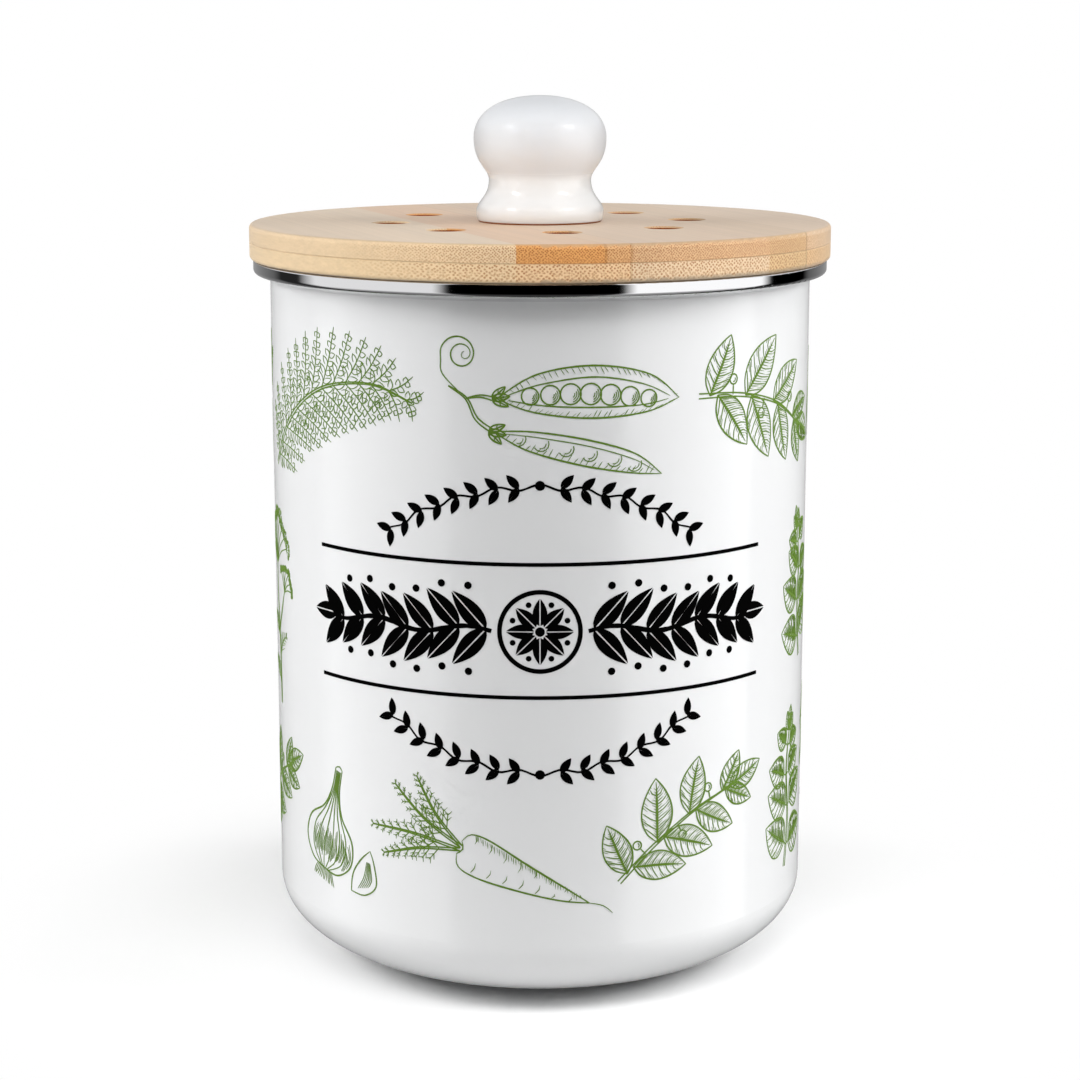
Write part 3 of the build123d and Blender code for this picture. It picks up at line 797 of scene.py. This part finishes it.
def garlic_bulb():
    """A bulb with its dry neck and roots, and one clove beside it; about 30 by 30."""
    for side in (-1, 1):
        outline = [
            (0, 0.6), (side * 5.5, 1.2), (side * 9.4, 5.6), (side * 8.6, 11.5),
            (side * 3.6, 16.5), (side * 1.5, 22), (side * 1.2, 28),
        ]
        yield pen(outline, LINE * 1.2, 0.8, 0.6)
    yield pen([(-1.2, 28), (0, 28.7), (1.2, 28)])
    for share in (-0.72, -0.42, -0.12, 0.18, 0.48, 0.76):
        rib = [
            (share * 2.5, 0.8), (share * 8.2, 4.6), (share * 8.6, 10.5),
            (share * 4.2, 16.2), (share * 1.3, 22), (share, 27.4),
        ]
        yield pen(rib, LINE * 0.9, 0.7, 0.4)
        for k in range(5):
            shift = share + 0.05 * (k + 1)
            low = hand.uniform(2.0, 4.0)
            high = low + hand.uniform(6.5, 8.5)
            fine = [(shift * 8.0, low + 1), (shift * 8.9, low + 4), (shift * 7.6, high)]
            yield pen(fine, FINE_LINE * 0.8)
    for n in range(13):
        x = -3 + 0.5 * n
        root = [(x, 0.8), (x * 1.3, -1.2), (x * 1.5 + hand.uniform(-0.5, 0.5), -2.6)]
        yield pen(root, FINE_LINE)
    yield pen([(11, 0), (15.5, 0.8), (18.4, 4.5), (16.6, 9.5), (14.6, 12.5)], LINE * 1.1)
    yield pen([(11, 0), (10.6, 4.5), (12.2, 9), (14.6, 12.5)], LINE * 1.1)
    for n in range(6):
        lean = 0.6 * n
        corners = [(13.0 + lean, 1.6 + 0.3 * n), (14.2 + lean * 0.85, 5.2), (14.2 + lean * 0.35, 9.4)]
        yield pen(corners, FINE_LINE * 0.85)


motifs = {
    "bay": bay_twig, "sprig": round_sprig, "umbel": seed_umbel, "peas": pea_pods,
    "fern": fern_frond, "carrot": carrot, "garlic": garlic_bulb,
}
layout = (
    ("fern", -96, 140, 14, 1.18), ("peas", -11, 165, 1, 1.04), ("bay", 43, 164, -28, 1.05),
    ("garlic", 112.5, 148, 6, 0.78), ("umbel", -97, 72, 5, 0.90), ("garlic", -67.5, 32, -14, 1.10),
    ("carrot", 13, 32, 67, 1.08), ("bay", 21, 37, 18, 0.92), ("sprig", 85, 28, -3, 1.0),
    ("sprig", 96, 86, 6, 0.95, True), ("bay", -120, 34, 22, 0.85),
    ("umbel", 121, 24, 4, 0.86, True), ("peas", 140, 162, 4, 0.88), ("fern", 114, 102, 8, 0.85),
    ("garlic", 150, 33, 6, 0.95), ("carrot", 194, 90, 10, 0.90), ("bay", 166, 58, 16, 0.80),
    ("sprig", 222, 96, 6, 1.0), ("garlic", 220, 36, -8, 0.98, True), ("fern", -236, 150, 8, 0.90),
    ("bay", 190, 160, 8, 0.72), ("carrot", -116, 124, -4, 0.92),
    ("umbel", -206, 74, -4, 0.92, True), ("peas", -218, 52, -6, 0.86),
    ("sprig", -164, 126, 14, 0.95), ("carrot", -160, 74, 26, 0.80, True),
    ("sprig", -146, 28, -10, 0.92), ("garlic", -140, 104, 8, 0.90, True),
)
print_green = new_material("print_green", LEAF_GREEN, 0.5, {"Specular IOR Level": 0.15})[0]
green_lines = {}
for kind, x, y, turn, size, *flip in layout:
    green_lines.setdefault(kind, [])
    green_lines[kind] += moved(motifs[kind](), x, y, turn, size, *flip)
for kind, strokes in green_lines.items():
    print_on_pot("print_" + kind, strokes, print_green)


# Rules and garland of the print, in black: two rules, a rosette with leafy arms between
# them, and a thin leafy vine that arches over them and one that hangs below.
RULE_HEIGHTS = (122.5, 87.6)
RULE_WIDTH = 1.0
RULE_REACH = 66
BAND_MIDDLE = 105.0
PETALS = 8
ARM_START = 12.5
ARM_SWAY = 1.1
STEM_STEP = 4.36
SWAY_RUN = STEM_STEP / 1.05
LEAF_STEP = 7.2
ARCH_RADIUS = 70.0
ARCH_RISE = 37.5
ARCH_HALF_TURN = 36
VINE_SWAY = 0.7
VINE_LEAF_TURN = 4.4


def solid_leaf(length, half_width, gap=0.35):
    """A black leaf along +x, parted by a thin midrib left unprinted."""
    for side in (-1, 1):
        marks = []
        for n in range(12):
            t = n / 11
            half = half_width * math.sin(math.pi * t ** 0.8) ** 0.9 / 2
            marks.append((length * t, side * (half + gap / 2), max(0.02, half)))
        yield marks


def arm_height(x):
    """The height of an arm's wavy stem at a distance x from the rosette's middle."""
    return BAND_MIDDLE + ARM_SWAY * math.sin((x - ARM_START) / SWAY_RUN)


def black_band():
    """The rosette and its two arms of leaves and berries."""
    for n in range(PETALS):
        turn = 360 / PETALS * n
        petals = moved(solid_leaf(7.0, 1.75, 0.3), 1.6, 0)
        yield from moved(petals, 0, BAND_MIDDLE, turn)
        yield blot(*onward(0, BAND_MIDDLE, turn + 180 / PETALS, 7.6), 0.75)
    yield blot(0, BAND_MIDDLE, 1.25)
    yield ring(0, BAND_MIDDLE, 10.4, 1.2)
    for side in (-1, 1):
        stops = [ARM_START + STEM_STEP * n for n in range(12)]
        yield pen([(side * x, arm_height(x)) for x in stops], 1.3, 0.8, 0.6, 1.2)
        for n in range(7):
            x = 14.0 + LEAF_STEP * n
            y = arm_height(x)
            size = 1.0 - 0.03 * n
            for lean in (-47, 47):
                turn = lean if side > 0 else 180 - lean
                yield from moved(solid_leaf(13.0, 2.55), side * x, y, turn, size)
            if n < 6:
                for up in (-1, 1):
                    yield blot(side * (x + 4.6), y + up * 11.3 * size, 1.0)
        yield from moved(solid_leaf(9.0, 2.2), side * 60, BAND_MIDDLE, 0 if side > 0 else 180)


def black_arches():
    """A thin vine of small leaves that arches above the rules, and one below."""
    for up in (-1, 1):
        vine = []
        for n in range(-ARCH_HALF_TURN, ARCH_HALF_TURN + 1):
            turn = math.radians(n)
            reach = ARCH_RADIUS + VINE_SWAY * math.cos(math.radians(n * 40))
            height = ARCH_RISE - ARCH_RADIUS + reach * math.cos(turn)
            vine.append((reach * math.sin(turn), BAND_MIDDLE + up * height))
        yield pen(vine, 0.55, 0.8, 0.8, 1.2)
        yield blot(0, BAND_MIDDLE + up * (ARCH_RISE + 0.4), 1.3)
        for side in (-1, 1):
            for n in range(1, 9):
                angle = n * VINE_LEAF_TURN
                turn = math.radians(angle)
                x = side * ARCH_RADIUS * math.sin(turn)
                y = BAND_MIDDLE + up * (ARCH_RISE - ARCH_RADIUS * (1 - math.cos(turn)))
                course = -up * angle if side > 0 else 180 + up * angle
                for lean in (-50, 50):
                    yield from moved(solid_leaf(4.6, 1.1, 0.0), x, y, course + lean)


print_black = new_material("print_black", RULE_BLACK, 0.6, {"Specular IOR Level": 0.01})[0]
rules = []
for height in RULE_HEIGHTS:
    rules.append([(-RULE_REACH + 3 * n, height, RULE_WIDTH / 2) for n in range(2 * RULE_REACH // 3 + 1)])
print_on_pot("print_rules", rules, print_black)
print_on_pot("print_garland", black_band(), print_black)
print_on_pot("print_arches", black_arches(), print_black)


# Rim ring. Half-millimetre stainless strip, rolled over the pot's lip and polished,
# with faint turning marks that run round it.
STEEL_TONE = (0.80, 0.80, 0.81)
STEEL_MARK = 0.00025
TOP_ROUNDING = 0.0008
SIDE_HEIGHT = 0.00176
LOW_ROUNDING = 0.0013
LOW_SLANT = -0.942
MIDDLE_REACH = 0.0742
CLOUD_SCALE = 60.0
CLOUD_SHARE = 0.4


def turning_group():
    """Marks that run round the pot's axis, as a lathe or a polishing wheel leaves them."""
    group, given, told = new_group(
        "turning_marks", "ShaderNodeTree",
        {"Mark Width": "Float", "Rough Low": "Float", "Rough High": "Float"},
        {"Roughness": "Float", "Height": "Float"},
    )
    place = coordinates(group)
    parts = axes_of(group, place)
    outwards = reckon(group, "DIVIDE", reach_from_axis(group, parts), given["Mark Width"])
    upwards = reckon(group, "DIVIDE", parts["Z"], given["Mark Width"])
    height = noise(group, vector_from(group, X=outwards, Y=upwards), 1.0, 3.0, 0.6)
    cloudy = reckon(group, "MULTIPLY", noise(group, place, CLOUD_SCALE, 2.0), CLOUD_SHARE)
    both = reckon(group, "MULTIPLY_ADD", height, 1 - CLOUD_SHARE, cloudy)
    rough = ramp_between(group, both, 0.3, 0.7, given["Rough Low"], given["Rough High"])
    wire(group, rough, told["Roughness"])
    wire(group, height, told["Height"])
    return group


turning_marks = turning_group()


def placed_group(tree, group, values):
    """Puts a group in a material, its inputs set or wired by name; returns its outputs."""
    node = tree.nodes.new("ShaderNodeGroup")
    node.node_tree = group
    for name, value in values.items():
        set_or_wire(tree, node.inputs[name], value)
    return node.outputs


def turned_metal(name, tone, width, rough_low, rough_high, depth):
    """A metal with turning marks round the pot's axis; returns it as new_material does."""
    material, tree, shader = new_material(name, tone, rough_low, {"Metallic": 1.0})
    marks = placed_group(tree, turning_marks, {
        "Mark Width": width, "Rough Low": rough_low, "Rough High": rough_high,
    })
    wire(tree, marks["Roughness"], shader.inputs["Roughness"])
    bump(tree, shader, marks["Height"], depth, 0.0001)
    return material, tree, shader


def rolled_normal(tree):
    """The strip's direction at each place of its rolled profile, for clean reflections."""
    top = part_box("rim_ring")[1][2] - TOP_ROUNDING
    parts = axes_of(tree, coordinates(tree))
    reach = reach_from_axis(tree, parts)
    outer = reckon(tree, "GREATER_THAN", reach, MIDDLE_REACH)
    over = reckon(tree, "DIVIDE", reckon(tree, "SUBTRACT", parts["Z"], top), TOP_ROUNDING)
    over = reckon(tree, "MINIMUM", reckon(tree, "MAXIMUM", over, 0.0), 1.0)
    under = reckon(tree, "SUBTRACT", parts["Z"], top - SIDE_HEIGHT)
    under = reckon(tree, "MAXIMUM", reckon(tree, "DIVIDE", under, LOW_ROUNDING), LOW_SLANT)
    rise = reckon(tree, "MULTIPLY_ADD", reckon(tree, "MINIMUM", under, 0.0), outer, over)
    level = reckon(tree, "SQRT", reckon(tree, "SUBTRACT", 1.0, reckon(tree, "MULTIPLY", rise, rise)))
    level = reckon(tree, "MULTIPLY", level, reckon(tree, "MULTIPLY_ADD", outer, 2.0, -1.0))
    flat = {axis: reckon(tree, "DIVIDE", parts[axis], reach) for axis in "XY"}
    flat = {axis: reckon(tree, "MULTIPLY", share, level) for axis, share in flat.items()}
    result = tree.nodes.new("ShaderNodeVectorTransform")
    result.vector_type = "NORMAL"
    result.convert_from = "OBJECT"
    result.convert_to = "WORLD"
    wire(tree, vector_from(tree, Z=rise, **flat), result.inputs[0])
    return result.outputs[0]


steel, tree, shader = turned_metal("polished_stainless", STEEL_TONE, STEEL_MARK, 0.03, 0.08, 0.02)
wire(tree, rolled_normal(tree), tree.nodes["Bump"].inputs["Normal"])
cover(cad["rim_ring"], steel)


# Lid board and plug ring. Bamboo strips glued edge to edge, then two plies face to
# face. Along the grain it shows fine streaks, across it the dots of its fibre bundles.
FIBRE_TURN = 70
BOARD_REACH = 0.084
JOINT_WIDTH = 0.00016
JOINT_SHADE = 0.8
DRILLED_WITHIN = 0.070
PLAIN_BAMBOO = (0.7, 0.5, 0.3)
# The flat faces take a darker, greyer tone than the edges: painted shade and painted sheen on the lid's
# top.
FACE_SHADE_AND_SHEEN = (0.41, 0.29, 0.178)
# The walls of the vent holes are multiplied dark orange-brown: painted shade inside the holes.
VENT_SHADE = (0.50, 0.20, 0.025)
END_GRAIN_SPAN = (0.48, 0.95)
FACE_SHADE_SPAN = (0.6, 0.95)
FACE_SHADE_SHARE = 0.6
WALL_SPAN = (0.3, 0.8)
BUNDLE_TINT = (0.46, 0.21, 0.07)
BUNDLE_SCATTER = 0.5
BUNDLE_CORE = 0.20
BUNDLE_EDGE = 0.43
FINE_STREAKS = (6, 900, 900)
BROAD_STREAKS = (2.5, 70, 70)
UPPER_PITCHES = (0.0008, 0.0010)
UPPER_STRIPS = (
    (-0.0840, (0.65, 0.485, 0.30)), (-0.0334, (0.585, 0.29, 0.093)), (-0.0119, (0.56, 0.325, 0.145)),
    (-0.0053, (0.55, 0.355, 0.193)), (0.0361, (0.51, 0.335, 0.173)), (0.0517, (0.56, 0.39, 0.235)),
)
LOWER_PITCHES = (0.0011, 0.0013)
LOWER_STRIPS = (
    (-0.0840, (0.66, 0.495, 0.30)), (-0.0334, (0.645, 0.455, 0.265)), (-0.0053, (0.60, 0.455, 0.295)),
    (0.0361, (0.54, 0.375, 0.195)), (0.0517, (0.57, 0.38, 0.20)),
)
PLUG_PITCHES = (0.0007, 0.0010)
PLUG_STRIPS = (
    (-0.0840, (0.64, 0.48, 0.30)), (-0.0480, (0.60, 0.43, 0.26)), (-0.0150, (0.66, 0.50, 0.32)),
    (0.0130, (0.60, 0.42, 0.25)), (0.0460, (0.64, 0.48, 0.30)),
)
PLUG_LOW = 0.18
PLUG_HIGH = 0.19


def stretched(tree, vector, factors):
    """A vector with its x, y and z each multiplied by its own factor."""
    node = tree.nodes.new("ShaderNodeVectorMath")
    node.operation = "MULTIPLY"
    wire(tree, vector, node.inputs[0])
    node.inputs[1].default_value = factors
    return node.outputs["Vector"]


def bamboo_group():
    """The bamboo effect; x runs along the fibres, y across the strips, in metres."""
    group, given, told = new_group(
        "bamboo_grain", "ShaderNodeTree",
        {
            "Vector": "Vector", "Normal": "Vector", "Fine Pitch": "Float", "Coarse Pitch": "Float",
            "Coarse Share": "Float", "Strip Colour": "Color",
        },
        {"Color": "Color", "Height": "Float"},
    )
    parts = axes_of(group, given["Vector"])
    facing = axes_of(group, given["Normal"])
    end_grain = ramp_between(group, reckon(group, "ABSOLUTE", facing["X"]), *END_GRAIN_SPAN)

    sway = noise(group, given["Vector"], 40.0, 1.0)
    rows = {"X": reckon(group, "ADD", parts["Y"], parts["Z"])}
    rows["Y"] = reckon(group, "SUBTRACT", parts["Y"], parts["Z"])
    bundles = []
    for pitch in ("Fine Pitch", "Coarse Pitch"):
        cells = {axis: reckon(group, "DIVIDE", row, given[pitch]) for axis, row in rows.items()}
        swayed = {axis: reckon(group, "MULTIPLY_ADD", sway, 2.0, cell) for axis, cell in cells.items()}
        dots = group.nodes.new("ShaderNodeTexVoronoi")
        dots.voronoi_dimensions = "2D"
        dots.inputs["Scale"].default_value = 1.0
        dots.inputs["Randomness"].default_value = BUNDLE_SCATTER
        wire(group, vector_from(group, **swayed), dots.inputs["Vector"])
        bundles.append(ramp_between(group, dots.outputs["Distance"], BUNDLE_CORE, BUNDLE_EDGE, 1.0, 0.0))
    fine, coarse = bundles
    coarser = reckon(group, "SUBTRACT", coarse, fine)
    mixed = reckon(group, "MULTIPLY_ADD", coarser, given["Coarse Share"], fine)
    shown = reckon(group, "MULTIPLY_ADD", end_grain, 0.80, 0.04)
    dotted = reckon(group, "MULTIPLY", mixed, shown)

    streaks = noise(group, stretched(group, given["Vector"], FINE_STREAKS), 1.0, 4.0, 0.6)
    bands = noise(group, stretched(group, given["Vector"], BROAD_STREAKS), 1.0, 2.0, 0.6)
    streak = reckon(group, "MULTIPLY_ADD", end_grain, -0.14, 0.34)
    tone = reckon(group, "MULTIPLY_ADD", bands, 0.20, 0.75)
    tone = reckon(group, "MULTIPLY_ADD", streaks, streak, tone)
    tone = reckon(group, "SUBTRACT", tone, reckon(group, "MULTIPLY_ADD", streak, 0.5, -0.12))
    tone = reckon(group, "MULTIPLY_ADD", end_grain, 0.15, tone)
    # Flat faces are mixed towards a darker, greyer tone than the edges: painted shade and painted sheen
    # on the lid's top.
    level = reckon(group, "ABSOLUTE", facing["Z"])
    level = ramp_between(group, level, *FACE_SHADE_SPAN, 0.0, FACE_SHADE_SHARE)
    wood = blend_colours(group, level, given["Strip Colour"], FACE_SHADE_AND_SHEEN)
    wood = blend_colours(group, 1.0, wood, vector_from(group, X=tone, Y=tone, Z=tone), "MULTIPLY")
    wood = blend_colours(group, dotted, wood, BUNDLE_TINT, "MULTIPLY")
    wire(group, wood, told["Color"])
    pits = reckon(group, "MULTIPLY", dotted, -0.5)
    wire(group, reckon(group, "MULTIPLY_ADD", streaks, 0.5, pits), told["Height"])
    return group


bamboo_grain = bamboo_group()


def turned(tree, output, degrees):
    """An output of the texture coordinates, turned about the pot's axis."""
    node = tree.nodes.new("ShaderNodeVectorRotate")
    node.rotation_type = "Z_AXIS"
    node.inputs["Angle"].default_value = math.radians(degrees)
    wire(tree, coordinates(tree, output), node.inputs["Vector"])
    return node.outputs["Vector"]


def bamboo(name, strips, pitches, coarse_low, coarse_high):
    """A bamboo ply; its bundles grow coarser from coarse_high down to coarse_low in height."""
    material, tree, shader = new_material(name, PLAIN_BAMBOO, 0.45, {
        "Sheen Weight": 0.15, "Sheen Roughness": 0.4, "Sheen Tint": (0.85, 0.92, 1.0, 1),
    })
    place = turned(tree, "Object", FIBRE_TURN)
    normal = turned(tree, "Normal", FIBRE_TURN)
    parts = axes_of(tree, place)
    steps = []
    for start, colour in strips:
        if steps:
            steps.append((start, tuple(part * JOINT_SHADE for part in steps[-1][1])))
            start += JOINT_WIDTH
        steps.append((start, colour))
    steps = [(0.5 + start * 0.5 / BOARD_REACH, colour) for start, colour in steps]
    across = reckon(tree, "MULTIPLY_ADD", parts["Y"], 0.5 / BOARD_REACH, 0.5)
    grain = placed_group(tree, bamboo_grain, {
        "Vector": place,
        "Normal": normal,
        "Fine Pitch": pitches[0],
        "Coarse Pitch": pitches[1],
        "Coarse Share": ramp_between(tree, parts["Z"], coarse_low, coarse_high, 1.0, 0.0),
        "Strip Colour": colour_steps(tree, across, steps, "CONSTANT"),
    })
    # Steep walls inside the vent ring are darkened: painted shade in the vent holes.
    level = reckon(tree, "ABSOLUTE", axes_of(tree, normal)["Z"])
    wall = ramp_between(tree, level, *WALL_SPAN, 1.0, 0.0)
    inside = reckon(tree, "LESS_THAN", reach_from_axis(tree, parts), DRILLED_WITHIN)
    shaded_vent_wall = reckon(tree, "MULTIPLY", wall, inside)
    wood = blend_colours(tree, shaded_vent_wall, grain["Color"], VENT_SHADE, "MULTIPLY")
    wire(tree, wood, shader.inputs["Base Color"])
    bump(tree, shader, grain["Height"], 0.25, 0.0003)
    return material


upper_low, upper_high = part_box("lid_upper_ply")
lower_low, lower_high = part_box("lid_lower_ply")
for piece, name, strips, pitches, low, high in (
    ("lid_upper_ply", "bamboo_upper", UPPER_STRIPS, UPPER_PITCHES, upper_low[2] - 0.004, upper_high[2]),
    ("lid_lower_ply", "bamboo_lower", LOWER_STRIPS, LOWER_PITCHES, lower_low[2] - 0.001, lower_high[2]),
    ("lid_plug", "bamboo_plug", PLUG_STRIPS, PLUG_PITCHES, PLUG_LOW, PLUG_HIGH),
):
    cover(cad[piece], bamboo(name, strips, pitches, low, high))


# Knob. Slip-cast stoneware under a clear white glaze, glossier where it pooled at its waist,
# where its colour is also painted lighter: painted light on the shaded waist and foot. A thin dark
# brown line at the foot, without coat, is painted shade where the foot meets the board.
GLAZE_WHITE = (0.75, 0.765, 0.79)
# The lower glaze colour is lighter than the top: painted light on the shaded waist and foot.
GLAZE_PAINTED_LIGHT = (0.895, 0.905, 0.91)
POOL_AND_LIGHT_FROM = 0.30
POOL_AND_LIGHT_TO = 0.43
POOL_RIPPLE = 0.015
# A thin dark brown band at the very foot: painted shade where the foot meets the board.
FOOT_SHADE = (0.29, 0.085, 0.03)
FOOT_SHADE_LOW = 0.0003
FOOT_SHADE_HIGH = 0.0006
glaze, tree, shader = new_material("white_glaze", GLAZE_WHITE, 0.16, {
    "Coat Roughness": 0.05, "Subsurface Weight": 0.7, "Subsurface Radius": (1, 1, 1),
    "Subsurface Scale": 0.012,
})
height = axes_of(tree, coordinates(tree))["Z"]
knob_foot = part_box("knob")[0][2]
knob_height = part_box("knob")[1][2] - knob_foot
pool_and_light = (knob_foot + knob_height * POOL_AND_LIGHT_FROM, knob_foot + knob_height * POOL_AND_LIGHT_TO)
# Below the bulge the glaze is glossier and painted lighter: painted light on the shaded waist and foot.
pooled_and_lit = ramp_between(tree, height, *pool_and_light, 1.0, 0.0)
glazed = blend_colours(tree, pooled_and_lit, GLAZE_WHITE, GLAZE_PAINTED_LIGHT)
# A thin dark brown band at the foot, without coat: painted shade where the foot meets the board.
foot_shade = ramp_between(tree, height, knob_foot + FOOT_SHADE_LOW, knob_foot + FOOT_SHADE_HIGH, 1.0, 0.0)
wire(tree, blend_colours(tree, foot_shade, glazed, FOOT_SHADE), shader.inputs["Base Color"])
wire(tree, reckon(tree, "MULTIPLY_ADD", pooled_and_lit, -0.20, 0.32), shader.inputs["Roughness"])
wire(tree, reckon(tree, "MULTIPLY_ADD", foot_shade, -0.3, 0.3), shader.inputs["Coat Weight"])
bump(tree, shader, noise(tree, coordinates(tree), 1 / POOL_RIPPLE, 2.0), 0.04)
cover(cad["knob"], glaze)


# Bolt, washer, insert and screws. Zinc plate with the faint yellow and blue of its
# passivation, and plain turned brass.
ZINC_BLUE = (0.56, 0.59, 0.63)
ZINC_YELLOW = (0.64, 0.61, 0.53)
ZINC_MARK = 0.0002
BRASS_TONE = (0.78, 0.56, 0.25)
BRASS_MARK = 0.0003
zinc, tree, shader = turned_metal("zinc_plate", ZINC_BLUE, ZINC_MARK, 0.22, 0.38, 0.10)
tinted = ramp_between(tree, noise(tree, coordinates(tree), 220.0, 2.0), 0.4, 0.65)
wire(tree, blend_colours(tree, tinted, ZINC_BLUE, ZINC_YELLOW), shader.inputs["Base Color"])
for name in ("knob_bolt", "knob_washer", "collar_screws"):
    cover(cad[name], zinc)
brass = turned_metal("turned_brass", BRASS_TONE, BRASS_MARK, 0.20, 0.34, 0.15)[0]
cover(cad["knob_insert"], brass)


# Seal, filter collar and filter cap. Cloudy silicone, and polypropylene with the fine
# spark-eroded grain of its mould.
def moulded(name, tone, rough, grain, glow):
    """A moulded plastic or rubber: grain is the size of its texture, glow its translucency."""
    material, tree, shader = new_material(name, tone, rough, {
        "Subsurface Weight": glow, "Subsurface Radius": (1.0, 1.0, 0.9), "Subsurface Scale": 0.002,
    })
    place = coordinates(tree)
    patchy = ramp_between(tree, noise(tree, place, 70.0, 2.0), 0.35, 0.65, rough - 0.06, rough + 0.06)
    wire(tree, patchy, shader.inputs["Roughness"])
    bump(tree, shader, noise(tree, place, 1 / grain, 3.0, 0.6), 0.15, 0.0001)
    return material


for piece, name, tone, rough, grain, glow in (
    ("lid_seal", "cloudy_silicone", (0.78, 0.80, 0.79), 0.42, 0.0008, 0.5),
    ("filter_collar", "collar_polypropylene", (0.76, 0.76, 0.73), 0.46, 0.0003, 0.15),
    ("filter_cap", "cap_polypropylene", (0.78, 0.78, 0.75), 0.44, 0.0003, 0.15),
):
    cover(cad[piece], moulded(name, tone, rough, grain, glow))


# Filter pad. A firm disc of needled charcoal felt: cut edges pulled in a little, faces
# dimpled by the needles, and loose fibres that catch the light.
FELT_BLACK = (0.016, 0.016, 0.017)
FELT_FIBRE = (0.060, 0.060, 0.062)
FIBRE_STRETCH = (500, 4000, 2000)
PAD_SIDES = 120
PAD_RINGS = 26
PAD_SLACK = 0.00008
PAD_EDGE = 0.0012
PAD_SINK = 0.00012
PAD_DIMPLE = 0.00025
PAD_WAVER = 0.00015


def felt_pad():
    """The pad's closed mesh: two dimpled faces and a rounded edge, inside the CAD disc."""
    low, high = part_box("filter_pad")
    reach = high[0] - PAD_SLACK
    bottom, top = low[2] + PAD_SLACK, high[2] - PAD_SLACK
    middle, half = (bottom + top) / 2, (top - bottom) / 2
    needles = random.Random(11)
    profile = []
    for side in (1, -1):
        rings = []
        for n in range(1, PAD_RINGS + 1):
            rings.append(((reach - PAD_EDGE) * n / PAD_RINGS, side * (half - PAD_SINK)))
        for turn in (30, 60):
            angle = math.radians(turn)
            radius = reach - PAD_EDGE * (1 - math.sin(angle))
            rings.append((radius, side * (half - PAD_EDGE * (1 - math.cos(angle)))))
        profile += rings if side > 0 else rings[::-1]
    profile.insert(len(profile) // 2, (reach, 0.0))
    points = [(0, 0, middle + half - PAD_SINK)]
    for radius, height in profile:
        for n in range(PAD_SIDES):
            turn = 2 * math.pi * n / PAD_SIDES
            dimple = needles.uniform(0.0, PAD_DIMPLE) * (1 if height < 0 else -1)
            wavy = radius - needles.uniform(0.0, PAD_WAVER)
            points.append((wavy * math.cos(turn), wavy * math.sin(turn), middle + height + dimple))
    points.append((0, 0, middle - half + PAD_SINK))
    last = len(points) - 1
    faces = []
    for n in range(PAD_SIDES):
        ahead = (n + 1) % PAD_SIDES
        faces.append((0, 1 + n, 1 + ahead))
        for first in range(1, last - PAD_SIDES, PAD_SIDES):
            faces.append((first + n, first + PAD_SIDES + n, first + PAD_SIDES + ahead, first + ahead))
        faces.append((last, last - PAD_SIDES + ahead, last - PAD_SIDES + n))
    mesh = bpy.data.meshes.new("felt_pad")
    mesh.from_pydata(points, [], faces)
    mesh.shade_smooth()
    return put_in_scene("felt_pad", mesh)


felt, tree, shader = new_material("charcoal_felt", FELT_BLACK, 0.95, {"Sheen Weight": 0.25})
matted = noise(tree, coordinates(tree), 1800.0, 4.0, 0.7)
fibres = noise(tree, stretched(tree, turned(tree, "Object", 30), FIBRE_STRETCH), 1.0, 3.0, 0.7)
caught = ramp_between(tree, fibres, 0.56, 0.72)
wire(tree, blend_colours(tree, caught, FELT_BLACK, FELT_FIBRE), shader.inputs["Base Color"])
bump(tree, shader, reckon(tree, "ADD", matted, fibres), 0.8, 0.0004)
pad = felt_pad()
cover(pad, felt)
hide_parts("filter_pad")
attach(pad, "filter")
